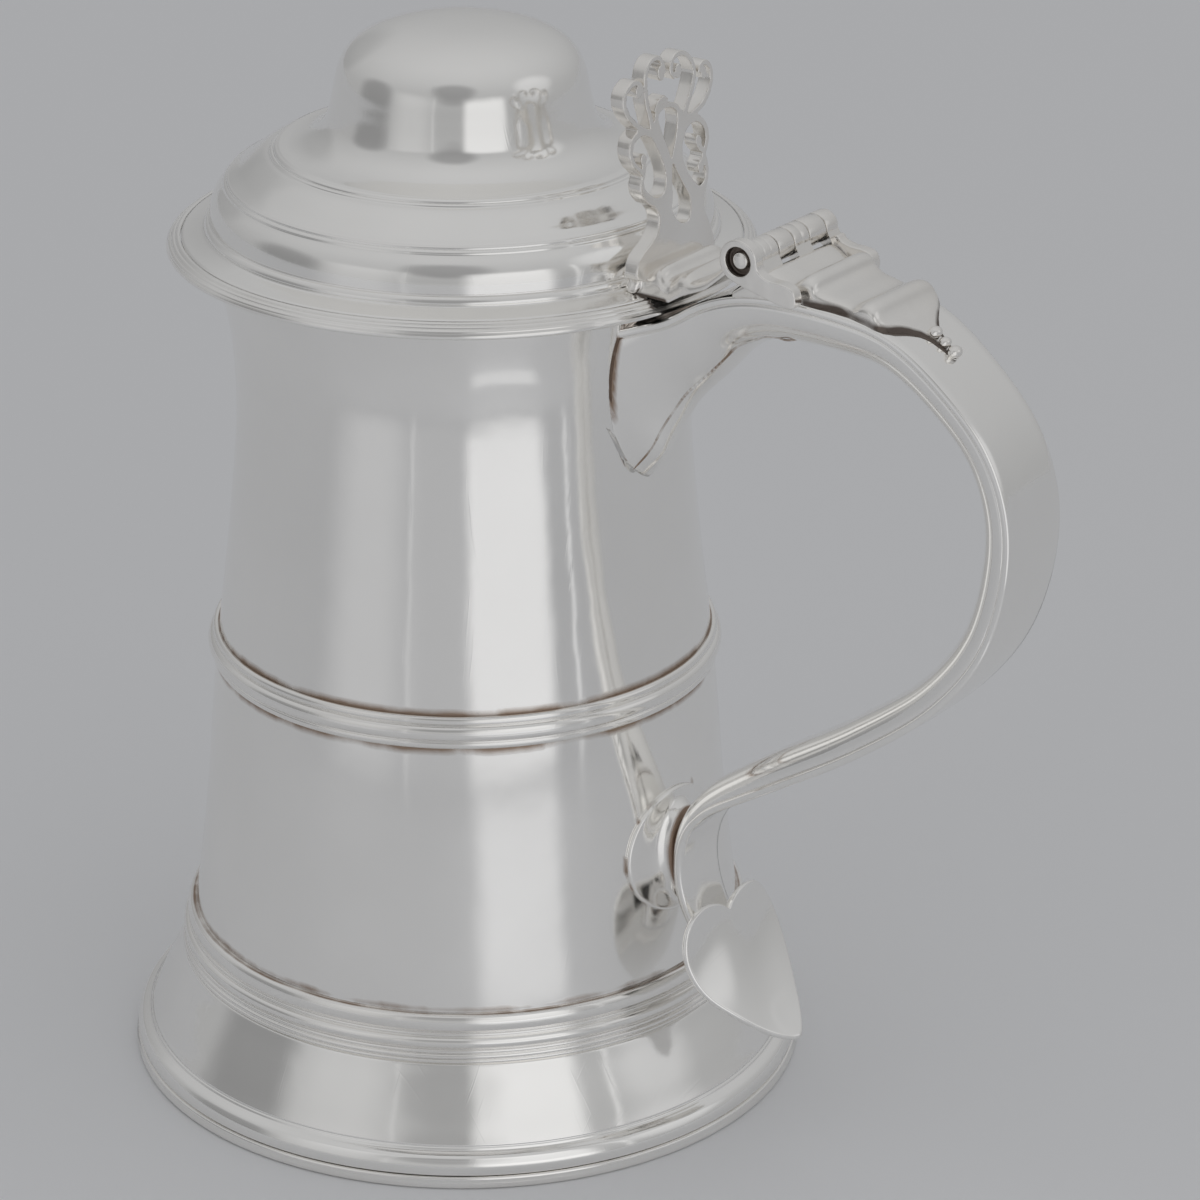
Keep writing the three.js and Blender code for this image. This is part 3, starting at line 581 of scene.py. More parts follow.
collarSet = {"low": 20.7, "high": 29.6}
collarOutline = [(51.0, 29.6), (52.2, 29.62)]
collarOutline += reed((52.35, 29.55), (52.75, 26.3), 0.78, 14)
collarOutline += reed((52.95, 26.2), (53.1, 25.6), 0.22, 5)
collarOutline += reed((53.25, 25.5), (53.5, 23.3), 0.85, 12)
collarOutline += reed((53.75, 23.2), (53.9, 22.5), 0.25, 5)
collarOutline += reed((53.9, 22.4), (54.1, 21.5), 0.42, 6)
collarOutline += reed((54.1, 21.4), (54.2, 20.75), 0.30, 5)
collarOutline += [(51.7, 20.6)]
collar = turn("footCollar", collarOutline, "turned", 256, 0.05, 50, seed=7.0)
markCrevices(collar, 1.2, 1, ringLine(51.9, 29.7), 0.5, 2.2)
finishPiece(collar, "turned", "tankard", "foot_collar")

skirtOutline = [(51.2, 26.7), (51.2, 20.45), (54.25, 20.42)]
skirtOutline += tuples(softCurve([(54.35, 20.3), (55.3, 18.3), (56.9, 15.2), (58.6, 11.8), (60.1, 8.6), (60.75, 7.3)], 7))
skirtOutline += [(60.7, 7.15), (60.85, 7.0), (61.15, 6.9)] + [(61.1, 6.72), (61.3, 6.55)]
skirtOutline += tuples(softCurve([(61.75, 6.45), (62.7, 5.95), (63.35, 4.9), (63.6, 3.9), (63.5, 2.75)], 5))
skirtOutline += [(63.2, 2.5), (61.3, 2.45)]
skirtOutline += tuples(softCurve([(60.9, 5.0), (59.3, 8.3), (57.5, 11.8), (55.6, 15.2), (54.0, 18.2)], 5)) + [(53.2, 19.25), (50.3, 19.3), (50.3, 26.7)]
skirt = turn("footSkirt", skirtOutline, "polished", 256, 0.12, 32, seed=11.0)
markCrevices(skirt, 1.3, 1, ringLine(54.5, 20.5), 0.15, 6.0)
finishPiece(skirt, "polished", "tankard", "foot_skirt")

rimWire = turn("footRimWire", [(61.3, 0.0), (63.3, 0.0), (63.75, 0.18), (63.98, 0.6), (63.95, 1.3), (63.7, 1.8), (63.75, 2.1), (63.45, 2.32), (61.3, 2.25)], "turned", 256, 0.06, 45, seed=13.0)
markCrevices(rimWire, 0.7, 1)
finishPiece(rimWire, "turned", "tankard", "foot_rim_wire")
print("turned body and foot made")

# handle
strap = skin("handleStrap", [strapRing(s) for s in stations])
shell = skin("handleShell", [shellRing(s) for s in stations])
markCrevices(strap, 0.8, 1, denseContact, 0.9, 2.0)
finishPiece(strap, "polished", "tankard", "handle_strap")
shellTree = BVHTree.FromPolygons([v.co / mm for v in shell.data.vertices], [tuple(p.vertices) for p in shell.data.polygons])
bossContact = [(r[k] - Vector((bodyAxis, 0, 0))) for r in bossRings()[-3:] for k in range(bossSet["turns"])]
markCrevices(shell, 0.5, 1, denseContact + [tuple(p) for p in bossContact], 1.0, 5.0)
finishPiece(shell, "polished", "tankard", "handle_shell")

boss = skin("handleBoss", bossRings())
neckLine = [(r[k] - Vector((bodyAxis, 0, 0))) for r in bossRings()[-5:] for k in range(bossSet["turns"])]
markCrevices(boss, 0.6, 2, [tuple(p) for p in neckLine[4 * bossSet["turns"]:]], 0.6, 7.0)
finishPiece(boss, "turned", "tankard", "handle_pad", slot="soldered")

# small plate across the lower end
lowEnd = stations[-1]
capRings = []
for forward, inset in ((-0.8, 0.9), (0.15, 0.75), (0.55, 0.9), (0.75, 1.5)):
    side = shellSide(lowEnd, inset)
    loop = side + [(-y, v) for y, v in side[:-1]][::-1]
    capRings.append([handlePoint(lowEnd, y, v) + lowEnd["along"] * forward + Vector((bodyAxis, 0, 0)) for y, v in loop])
endCap = skin("handleEndCap", capRings)
markCrevices(endCap)
finishPiece(endCap, "soldered", "tankard", "handle_end_cap")


# solder: a wandering bead laid along a path
def beadTree():
    tree = bpy.data.node_groups.new("solder_bead", "GeometryNodeTree")
    face = tree.interface
    face.new_socket("Geometry", in_out="INPUT", socket_type="NodeSocketGeometry")
    sockets = {}
    for label, kind, start in [("Bead Radius", "Float", 0.0004), ("Wander", "Float", 0.5), ("Lump Size", "Float", 400.0), ("Sides", "Int", 10), ("Spacing", "Float", 0.0004), ("Finish", "Material", None)]:
        sockets[label] = face.new_socket(label, in_out="INPUT", socket_type="NodeSocket" + kind)
        if start is not None:
            sockets[label].default_value = start
    face.new_socket("Geometry", in_out="OUTPUT", socket_type="NodeSocketGeometry")
    nodes, links = tree.nodes, tree.links
    start, end = nodes.new("NodeGroupInput"), nodes.new("NodeGroupOutput")
    path = nodes.new("GeometryNodeMeshToCurve")
    even = nodes.new("GeometryNodeResampleCurve")
    even.mode = "LENGTH"
    lumps = nodes.new("ShaderNodeTexNoise")
    position = nodes.new("GeometryNodeInputPosition")
    spread = nodes.new("ShaderNodeMapRange")
    less = nodes.new("ShaderNodeMath")
    less.operation = "SUBTRACT"
    less.inputs[0].default_value = 1.0
    taper = nodes.new("GeometryNodeSplineParameter")
    ends = nodes.new("ShaderNodeFloatCurve")
    curve = ends.mapping.curves[0]
    curve.points[0].location = (0, 0.15)
    curve.points[1].location = (1, 0.15)
    curve.points.new(0.06, 0.9)
    curve.points.new(0.94, 0.9)
    size = nodes.new("ShaderNodeMath")
    size.operation = "MULTIPLY"
    whole = nodes.new("ShaderNodeMath")
    whole.operation = "MULTIPLY"
    circle = nodes.new("GeometryNodeCurvePrimitiveCircle")
    circle.inputs["Radius"].default_value = 1.0
    sweep = nodes.new("GeometryNodeCurveToMesh")
    sweep.inputs["Fill Caps"].default_value = True
    shade = nodes.new("GeometryNodeSetShadeSmooth")
    real = nodes.new("GeometryNodeRealizeInstances")
    paint = nodes.new("GeometryNodeSetMaterial")
    for a, b in [
        (start.outputs["Geometry"], path.inputs[0]), (path.outputs[0], even.inputs["Curve"]), (start.outputs["Spacing"], even.inputs["Length"]),
        (position.outputs[0], lumps.inputs["Vector"]), (start.outputs["Lump Size"], lumps.inputs["Scale"]),
        (lumps.outputs[0], spread.inputs["Value"]), (start.outputs["Wander"], less.inputs[1]), (less.outputs[0], spread.inputs["To Min"]),
        (taper.outputs["Factor"], ends.inputs["Value"]), (spread.outputs[0], size.inputs[0]), (ends.outputs[0], size.inputs[1]),
        (size.outputs[0], whole.inputs[0]), (start.outputs["Bead Radius"], whole.inputs[1]),
        (even.outputs[0], sweep.inputs["Curve"]), (start.outputs["Sides"], circle.inputs["Resolution"]), (circle.outputs[0], sweep.inputs["Profile Curve"]),
        (whole.outputs[0], sweep.inputs["Scale"]), (sweep.outputs[0], shade.inputs[0]), (shade.outputs[0], real.inputs[0]),
        (real.outputs[0], paint.inputs["Geometry"]), (start.outputs["Finish"], paint.inputs["Material"]), (paint.outputs[0], end.inputs[0]),
    ]:
        links.new(a, b)
    return tree, {label: socket.identifier for label, socket in sockets.items()}


beading, beadInputs = beadTree()


def solderBead(name, path, radius, finish, body="tankard", wander=0.5, lumps=400.0, fromAxis=True):
    shift = Vector((bodyAxis, 0, 0)) if fromAxis else Vector((0, 0, 0))
    verts = [(Vector(p) + shift) * mm for p in path]
    blank = meshObject(name + "Path", verts, [], [(i, i + 1) for i in range(len(verts) - 1)])
    modifier = blank.modifiers.new("bead", "NODES")
    modifier.node_group = beading
    for label, value in [("Bead Radius", radius * mm), ("Wander", wander), ("Lump Size", lumps), ("Finish", metals[finish])]:
        modifier[beadInputs[label]] = value
    obj = settle(blank, name)
    outward(obj)
    markCrevices(obj, 0.0, 0, [tuple(Vector(p)) for p in path], 0.6, 9.0)
    return finishPiece(obj, finish, body)


def justOffDrum(p, lift=0.05):
    r = hypot(p[0], p[1])
    wall = drumRadius(p[2]) + lift
    return (p[0] * wall / r, p[1] * wall / r, p[2])


topSolder = [(drumRadius(z) * cos(a), drumRadius(z) * sin(a), z) for z, a in ((157.3, -0.232), (156.2, -0.238), (154.8, -0.243))]
solderBead("handleSolder", [justOffDrum(p) for p in topSolder + denseContact], 0.42, "soldered")
solderBead("lipSolder", [justOffDrum((48 * cos(a), 48 * sin(a), 156.4 - 3.2 * (a / 0.24) ** 8), 0.2) for a in np.linspace(-0.24, 0.24, 30)], 1.1, "soldered", lumps=250.0)

# raised line of solder up the near side of the upper joint
seamSet = {"radius": 0.30, "stop": 0.215, "start": 0.24, "drift": 0.14, "keep": 0.45}
steps = 16
keelFree = [s for s in stations[:140] if hypot(*handlePoint(s, 0, s["depth"]).xy) > drumRadius(handlePoint(s, 0, s["depth"]).z) and s["t"] < seamSet["stop"]]
seamPath = []
for number, station in enumerate(keelFree):
    share = number / (len(keelFree) - 1)
    climb = max(0, share - seamSet["keep"]) / (1 - seamSet["keep"])
    side = shellSide(station, -0.05)
    k = steps * (1 - seamSet["start"] - seamSet["drift"] * share)
    low = int(k)
    a, b = side[low], side[min(low + 1, steps)]
    y, v = a[0] + (b[0] - a[0]) * (k - low), a[1] + (b[1] - a[1]) * (k - low)
    seamPath.append(handlePoint(station, -y + keelLean(station, v) + 0.25 * sin(number * 0.9) * climb, v + 0.2 * sin(number * 0.55) * climb))
if len(seamPath) > 4:
    solderBead("handleSeam", seamPath, seamSet["radius"], "polished", wander=0.75, lumps=330.0)
print("handle made, seam points:", len(seamPath))

# heart terminal
heartSet = {
    "bend": [(60.6, 45.9), (61.7, 41.6), (63.4, 37.2), (66.2, 32.4), (70.0, 28.0), (74.0, 24.6), (77.6, 22.3)],
    "half": 14.0, "length": 30.6, "thick": 1.2, "crown": 0.9,
    "outline": [(0, 2.5), (1.7, 1.05), (4.2, 0.15), (7.2, 0.0), (10.2, 0.9), (12.6, 3.3), (13.85, 6.8), (13.75, 10.8), (12.5, 15.2), (10.2, 19.6), (7.0, 24.2), (3.4, 28.2), (1.0, 30.2), (0, 30.6)],
}


def heartPlate():
    bend = softCurve(heartSet["bend"], 16)
    run = [0.0]
    for a, b in zip(bend, bend[1:]):
        run.append(run[-1] + (b - a).length)
    scale = heartSet["length"] / run[-1]
    run = [r * scale for r in run]
    xs, zs = [p[0] for p in bend], [p[1] for p in bend]

    def spot(across, down, depth):
        x, z = float(np.interp(down, run, xs)), float(np.interp(down, run, zs))
        x2, z2 = float(np.interp(down + 0.6, run, xs)), float(np.interp(down + 0.6, run, zs))
        x1, z1 = float(np.interp(down - 0.6, run, xs)), float(np.interp(down - 0.6, run, zs))
        along = Vector((x2 - x1, 0, z2 - z1)).normalized()
        out = Vector((-along.z, 0, along.x))
        back = heartSet["crown"] * (across / heartSet["half"]) ** 2 + depth
        swing = hypot(across - 3.4, (down - 26.8) * 1.1)
        crease = 0.16 / (1 + exp((swing - 5.4) / 0.28)) + 0.22 * sin(across * 0.32 + down * 0.21)
        return Vector((x, across, z)) - out * back + out * crease + Vector((bodyAxis, 0, 0))

    right = tuples(softCurve(heartSet["outline"], 7))
    loop = right + [(-a, d) for a, d in right[1:-1]][::-1]
    middle = Vector((0, 11.0))
    layers = [(k / 26, 0.0) for k in range(25)] + [(0.95, 0.0), (0.968, 0.0), (0.982, 0.06), (0.993, 0.22), (1.0, 0.5)]
    thick = heartSet["thick"]
    layers += [(f, thick - d) for f, d in reversed(layers)]
    rings = []
    for f, depth in layers:
        f = max(f, 0.004)
        rings.append([spot(*(middle.lerp(Vector(p), f)), depth) for p in loop])
    return skin("heartTerminal", rings)


heart = heartPlate()
markCrevices(heart, 0.0, 0)
finishPiece(heart, "polished", "tankard", "heart_terminal")


# cast pieces: parts run together, then softened as castings are
def castTogether(name, parts, grain, soften, keep=1.0):
    bm = bmesh.new()
    for part in parts:
        bm.from_mesh(part.data)
        bpy.data.objects.remove(part)
    mesh = bpy.data.meshes.new(name)
    bm.to_mesh(mesh)
    bm.free()
    obj = bpy.data.objects.new(name + "Rough", mesh)
    scene.collection.objects.link(obj)
    remesh = obj.modifiers.new("run together", "REMESH")
    remesh.mode = "VOXEL"
    remesh.voxel_size = grain * mm
    calm = obj.modifiers.new("soften", "SMOOTH")
    calm.factor = 0.5
    calm.iterations = soften
    if keep < 1.0:
        thin = obj.modifiers.new("thin", "DECIMATE")
        thin.ratio = keep
    done = settle(obj, name)
    smoothShade(done)
    return done


# flat closed shape in its own plane, pulled from depth low to high; place maps (across, up, depth) to a point
def slab(name, outline, low, high, place):
    count = len(outline)
    bm = bmesh.new()
    lower = [bm.verts.new(place(a, u, low) * mm) for a, u in outline]
    upper = [bm.verts.new(place(a, u, high) * mm) for a, u in outline]
    bm.faces.new(lower)
    bm.faces.new(upper[::-1])
    for i in range(count):
        j = (i + 1) % count
        bm.faces.new((lower[i], upper[i], upper[j], lower[j]))
    bmesh.ops.triangulate(bm, faces=[f for f in bm.faces if len(f.verts) > 4])
    bmesh.ops.recalc_face_normals(bm, faces=bm.faces)
    mesh = bpy.data.meshes.new(name)
    bm.to_mesh(mesh)
    bm.free()
    obj = bpy.data.objects.new(name, mesh)
    scene.collection.objects.link(obj)
    return obj


# outline of a scroll: (across, up, half width) along its middle, rounded at both ends
def scrollOutline(middle, steps=8):
    line = softCurve(middle, steps)
    left, right = [], []
    for i, p in enumerate(line):
        a, b = line[max(i - 1, 0)], line[min(i + 1, len(line) - 1)]
        side = Vector((-(b[1] - a[1]), b[0] - a[0])).normalized()
        left.append(Vector((p[0], p[1])) + side * p[2])
        right.append(Vector((p[0], p[1])) - side * p[2])
    return tuples(left + right[::-1])


def roundBlob(centre, radius, count=20, tall=1.0, turn=0.0):
    out = []
    for k in range(count):
        a = 2 * pi * k / count
        x, y = radius * cos(a), radius * tall * sin(a)
        out.append((centre[0] + x * cos(turn) - y * sin(turn), centre[1] + x * sin(turn) + y * cos(turn)))
    return out


thumbSet = {
    "x": 48.9, "foot": 166.6, "thick": 2.8, "lean": 0.075, "y": -0.6, "grain": 0.13,
    # plate up to the arch, its openings, then the free scrolls and their drop-shaped ends: (across, up)
    "plate": [(-6.9, 24.5), (-8.6, 25.0), (-10.4, 24.9), (-12.6, 23.6), (-13.2, 21.4), (-12.5, 19.2), (-10.9, 17.6), (-10.1, 16.7), (-10.6, 15.3), (-10.5, 13.8), (-9.2, 12.0), (-6.7, 10.3), (-5.8, 8.3), (-6.4, 6.3), (-8.2, 4.7), (-10.5, 3.5), (-12.2, 2.2), (-12.9, -0.8), (0, -1.0), (9.8, -0.8), (9.4, 2.6), (8.3, 5.0), (7.6, 6.9), (7.7, 9.2), (8.8, 11.2), (9.3, 13.4), (9.0, 15.4), (8.7, 16.4), (9.4, 17.6), (9.9, 19.4), (9.3, 21.6), (7.6, 23.4), (5.6, 24.4), (3.4, 24.8), (2.2, 25.6), (1.2, 26.8), (-0.6, 27.7), (-3.3, 27.9), (-5.0, 27.1), (-5.7, 25.6)],
    "openings": [
        [(-4.5, 26.0), (-3.3, 26.9), (-0.5, 26.7), (0.8, 25.6), (0.9, 23.8), (0.2, 21.3), (-0.7, 19.2), (-1.4, 17.9), (-2.2, 19.9), (-3.3, 22.2), (-4.2, 24.3)],
        [(-10.0, 23.7), (-8.0, 23.6), (-6.7, 22.5), (-5.2, 20.2), (-4.0, 17.8), (-3.3, 15.4), (-3.5, 13.4), (-4.5, 12.3), (-6.1, 12.1), (-7.8, 13.0), (-9.2, 14.3), (-9.6, 15.8), (-9.1, 16.8), (-9.8, 17.9), (-11.3, 19.3), (-12.3, 21.2), (-11.8, 22.8)],
        [(6.4, 22.6), (8.2, 21.4), (8.9, 19.2), (8.3, 17.6), (7.6, 16.4), (8.2, 14.6), (8.4, 13.0), (7.9, 11.8), (6.5, 11.2), (4.9, 12.4), (3.1, 14.4), (2.1, 16.5), (1.9, 18.6), (2.5, 20.7), (4.0, 22.3)],
        [(-1.1, 17.0), (-0.2, 15.5), (1.8, 12.4), (3.3, 10.0), (3.5, 7.9), (2.8, 6.1), (1.3, 5.8), (-0.3, 6.6), (-1.4, 7.8), (-2.0, 9.3), (-1.6, 10.9), (-1.6, 13.0), (-1.4, 15.0)],
    ],
    "scrolls": [
        [(-2.2, 33.0, 0.5), (-2.4, 34.6, 0.42), (-3.5, 36.0, 0.42), (-5.4, 36.0, 0.42), (-6.8, 35.0, 0.42), (-7.6, 33.2, 0.42), (-7.7, 31.2, 0.42), (-7.5, 28.8, 0.45), (-6.8, 26.4, 0.5), (-6.2, 24.0, 0.6)],
        [(0.9, 31.6, 0.5), (-0.1, 33.0, 0.45), (0.3, 34.6, 0.42), (1.9, 35.5, 0.42), (3.9, 35.2, 0.42), (5.8, 33.6, 0.42), (6.6, 31.6, 0.42), (6.1, 29.6, 0.45), (4.9, 27.3, 0.5), (3.6, 25.4, 0.55), (2.7, 23.8, 0.7)],
        [(8.2, 30.8, 0.5), (8.5, 32.0, 0.42), (10.0, 32.3, 0.42), (11.3, 31.1, 0.42), (11.6, 29.2, 0.42), (10.7, 27.2, 0.45), (9.2, 25.6, 0.5), (6.8, 24.5, 0.55), (4.3, 23.8, 0.6)],
        [(-8.7, 31.2, 0.5), (-9.2, 32.7, 0.42), (-10.8, 33.3, 0.42), (-12.6, 32.6, 0.42), (-13.7, 31.4, 0.42), (-13.8, 29.7, 0.42), (-12.9, 27.9, 0.45), (-11.0, 26.0, 0.5), (-8.9, 24.5, 0.55), (-7.0, 23.5, 0.6)],
        [(8.7, 16.9, 0.45), (7.9, 17.2, 0.5), (7.1, 18.0, 0.6)],
        [(8.6, 15.9, 0.45), (8.0, 15.7, 0.5), (7.4, 14.9, 0.6)],
        [(-10.0, 17.1, 0.45), (-9.4, 17.6, 0.5), (-9.2, 18.6, 0.6)],
        [(-5.2, 26.8, 0.5), (-4.2, 28.3, 0.45), (-2.8, 28.6, 0.5), (-1.6, 28.1, 0.5)],
    ],
    "drops": [((-3.0, 33.2), 0.85, 1.6, 0.1), ((1.9, 32.5), 0.85, 1.5, -0.1), ((9.3, 30.6), 0.75, 1.5, 0.2), ((-9.7, 31.5), 0.8, 1.3, -0.2), ((6.9, 18.9), 0.9, 1.35, 0.1), ((7.2, 14.3), 0.85, 1.35, -0.1), ((-9.2, 19.5), 0.75, 1.45, 0.0), ((-2.6, 28.7), 0.6, 1.0, 0)],
}


def thumbPlace(across, up, depth):
    x = thumbSet["x"] - thumbSet["lean"] * up - thumbSet["thick"] + depth
    return Vector((x + bodyAxis, across + thumbSet["y"], thumbSet["foot"] + up))


# sheet with openings sawn through it
def pierced(name, outline, openings, thick, place):
    drawing = bpy.data.curves.new(name, "CURVE")
    drawing.dimensions = "2D"
    drawing.fill_mode = "BOTH"
    drawing.extrude = thick / 2
    for loop in [outline] + openings:
        line = closedLoop(loop)
        spline = drawing.splines.new("POLY")
        spline.points.add(len(line) - 1)
        for point, (a, u) in zip(spline.points, line):
            point.co = (a, u, 0, 1)
        spline.use_cyclic_u = True
    flat = bpy.data.objects.new(name + "Drawing", drawing)
    scene.collection.objects.link(flat)
    obj = settle(flat, name)
    for vertex in obj.data.vertices:
        vertex.co = place(vertex.co.x, vertex.co.y, vertex.co.z + thick / 2) * mm
    bm = bmesh.new()
    bm.from_mesh(obj.data)
    bmesh.ops.remove_doubles(bm, verts=bm.verts, dist=1e-6)
    bmesh.ops.triangulate(bm, faces=bm.faces)
    bmesh.ops.recalc_face_normals(bm, faces=bm.faces)
    bm.to_mesh(obj.data)
    bm.free()
    return obj


thumbParts = [pierced("thumbPlate", thumbSet["plate"], thumbSet["openings"], thumbSet["thick"], thumbPlace)]
for number, scroll in enumerate(thumbSet["scrolls"]):
    thumbParts.append(slab("scroll", scrollOutline(scroll), 0.02, thumbSet["thick"] - 0.03 * (number % 3), thumbPlace))
for centre, radius, tall, turned in thumbSet["drops"]:
    thumbParts.append(slab("drop", roundBlob(centre, radius, 24, tall, turned), 0.1, thumbSet["thick"] - 0.1, thumbPlace))
thumb = castTogether("thumbpiece", thumbParts, thumbSet["grain"], 5, 0.45)
markCrevices(thumb, 1.4, 3)
finishPiece(thumb, "cast", "lid", "thumbpiece")
print("thumbpiece made:", len(thumb.data.polygons), "faces")

# hinge
plateSet = {
    "top": [(66.9, 167.2), (69.0, 169.1), (70.4, 170.0), (71.6, 170.6), (72.6, 171.3), (73.5, 171.6), (74.8, 171.1), (77.0, 170.0), (78.4, 170.0), (79.3, 171.0), (80.2, 171.75), (81.3, 171.85), (82.3, 171.2), (82.9, 170.0), (84.2, 169.3), (87.0, 168.8), (89.6, 168.3), (90.8, 168.8), (91.9, 169.4), (93.2, 169.5), (94.3, 168.9), (95.1, 167.7), (96.2, 166.7), (97.6, 165.9), (99.0, 164.8), (100.6, 163.6), (102.4, 162.4), (104.2, 161.0), (105.4, 160.0)],
    "half": [(66.9, 11.2), (73, 11.2), (76, 10.3), (79, 9.9), (83, 9.8), (85.5, 8.9), (89, 8.7), (91.5, 9.3), (94.4, 9.5), (95.4, 9.3), (96.4, 8.3), (97.4, 6.6), (98.6, 4.6), (99.9, 2.9), (101.4, 1.9), (103.4, 1.4), (105.0, 1.0), (105.4, 0.6)],
}


def backOfStrap(x):
    xs = [s["spot"].x for s in stations[:int(len(stations) * 0.4)]]
    zs = [s["spot"].z for s in stations[:int(len(stations) * 0.4)]]
    return float(np.interp(x, xs, zs))


def hingePlate():
    top = softCurve(plateSet["top"], 5)
    halfX, halfY = zip(*plateSet["half"])
    rings = []
    for p in top:
        x, z = p[0], p[1]
        half = float(np.interp(x, halfX, halfY))
        floor = backOfStrap(x) - 0.25
        high = max(z - floor, 0.4)
        ring = []
        for k in range(41):
            a = pi * k / 40
            c, s = cos(a), sin(a)
            y = half * (abs(c) ** 0.30) * (1 if c > 0 else -1)
            ring.append(Vector((x + bodyAxis, y, floor + high * s ** 0.34)))
        ring += [Vector((x + bodyAxis, -half * 0.98 + 2 * half * 0.98 * k / 6, floor)) for k in range(1, 6)]
        rings.append(ring)
    return skin("hingePlate", rings)


def bevelPlate(name, outline, y0, y1):
    return slab(name, outline, y0, y1, lambda a, u, d: Vector((a + bodyAxis, d, u)))


# side plate: a ring round the pin that runs out in an arm along the handle
cheekSet = {
    "ring": 3.8, "cup": 2.6,
    "arm": [(70.3, 169.1), (74.5, 168.1), (79.0, 167.2), (80.9, 167.3), (81.3, 168.8), (80.6, 170.5), (78.6, 171.1), (76.2, 171.2), (74.5, 171.7), (73.5, 172.6)],
}
cheekOutline = [(hinge["x"] + cheekSet["ring"] * cos(a), hinge["z"] + cheekSet["ring"] * sin(a)) for a in np.radians(np.arange(16, 256, 16))] + cheekSet["arm"]
cupOutline = [(hinge["x"] + cheekSet["cup"] * cos(a), hinge["z"] + cheekSet["cup"] * sin(a)) for a in np.radians(np.arange(0, 360, 15))]
plateParts = [hingePlate(), bevelPlate("cheekFar", closedLoop(cheekSet["arm"] + [(72.0, 171.6)], 4), 10.6, 12.9)]
plate = castTogether("hingePlate", plateParts, 0.2, 5, 0.6)
# brown laid up both sides of the plate from the back of the strap: patina at the joint, and painted shade on the
# plate's shaded sides
markCrevices(plate, 1.4, 3, [(x, side * float(np.interp(x, *zip(*plateSet["half"]))), backOfStrap(x) + 0.3) for x in np.linspace(81, 104, 160) for side in (-1, 1)], 0.95, 3.3)
finishPiece(plate, "cast", "tankard", "hinge_plate", "hinge_drop")


# beads in a row below the drop, set out by a tree along the back of the handle
def beadRowTree():
    tree = bpy.data.node_groups.new("bead_row", "GeometryNodeTree")
    face = tree.interface
    face.new_socket("Geometry", in_out="INPUT", socket_type="NodeSocketGeometry")
    radiusIn = face.new_socket("Bead Radius", in_out="INPUT", socket_type="NodeSocketFloat")
    finishIn = face.new_socket("Finish", in_out="INPUT", socket_type="NodeSocketMaterial")
    face.new_socket("Geometry", in_out="OUTPUT", socket_type="NodeSocketGeometry")
    nodes, links = tree.nodes, tree.links
    start, end = nodes.new("NodeGroupInput"), nodes.new("NodeGroupOutput")
    ball = nodes.new("GeometryNodeMeshUVSphere")
    ball.inputs["Segments"].default_value = 32
    ball.inputs["Rings"].default_value = 20
    scatter = nodes.new("GeometryNodeInstanceOnPoints")
    flat = nodes.new("ShaderNodeCombineXYZ")
    flat.inputs[0].default_value, flat.inputs[1].default_value, flat.inputs[2].default_value = 1.0, 1.15, 0.85
    shade = nodes.new("GeometryNodeSetShadeSmooth")
    real = nodes.new("GeometryNodeRealizeInstances")
    paint = nodes.new("GeometryNodeSetMaterial")
    for a, b in [
        (start.outputs["Geometry"], scatter.inputs["Points"]), (start.outputs["Bead Radius"], ball.inputs["Radius"]),
        (ball.outputs["Mesh"], scatter.inputs["Instance"]), (flat.outputs[0], scatter.inputs["Scale"]),
        (scatter.outputs[0], real.inputs[0]), (real.outputs[0], shade.inputs[0]),
        (shade.outputs[0], paint.inputs["Geometry"]), (start.outputs["Finish"], paint.inputs["Material"]), (paint.outputs[0], end.inputs[0]),
    ]:
        links.new(a, b)
    return tree, radiusIn.identifier, finishIn.identifier


beadSet = {"spots": [(100.9, 1.2), (102.9, 1.05), (104.9, 1.25)], "sink": 0.75}
rowTree, rowRadius, rowFinish = beadRowTree()
for number, (x, radius) in enumerate(beadSet["spots"], 1):
    blank = meshObject("beadSpot", [((x + bodyAxis) * mm, 0, (backOfStrap(x) + radius * beadSet["sink"]) * mm)], [])
    modifier = blank.modifiers.new("bead", "NODES")
    modifier.node_group = rowTree
    modifier[rowRadius] = radius * mm
    modifier[rowFinish] = metals["cast"]
    bead = settle(blank, "dropBead%d" % number)
    markCrevices(bead, 0.0, 0, [(x, 0, backOfStrap(x) - 0.1)], 0.9, number)
    finishPiece(bead, "cast", "tankard", "drop_bead_%d" % number)

# knuckles: turned lines at their ends, a cup with the pin's end in the near one
knuckleSet = {"ends": [-13.4, -4.6, 0.0, 4.6, 9.7, 13.4], "gap": 0.13, "radius": 2.7, "bore": 1.2}


def barrelLine(low, high, grooves=()):
    r = knuckleSet["radius"]
    line = [(r - 0.16, low), (r - 0.04, low + 0.06), (r, low + 0.18)]
    for y in grooves:
        line += [(r, y - 0.22), (r - 0.06, y - 0.07), (r - 0.06, y + 0.07), (r, y + 0.22)]
    return line + [(r, high - 0.18), (r - 0.04, high - 0.06), (r - 0.16, high)]


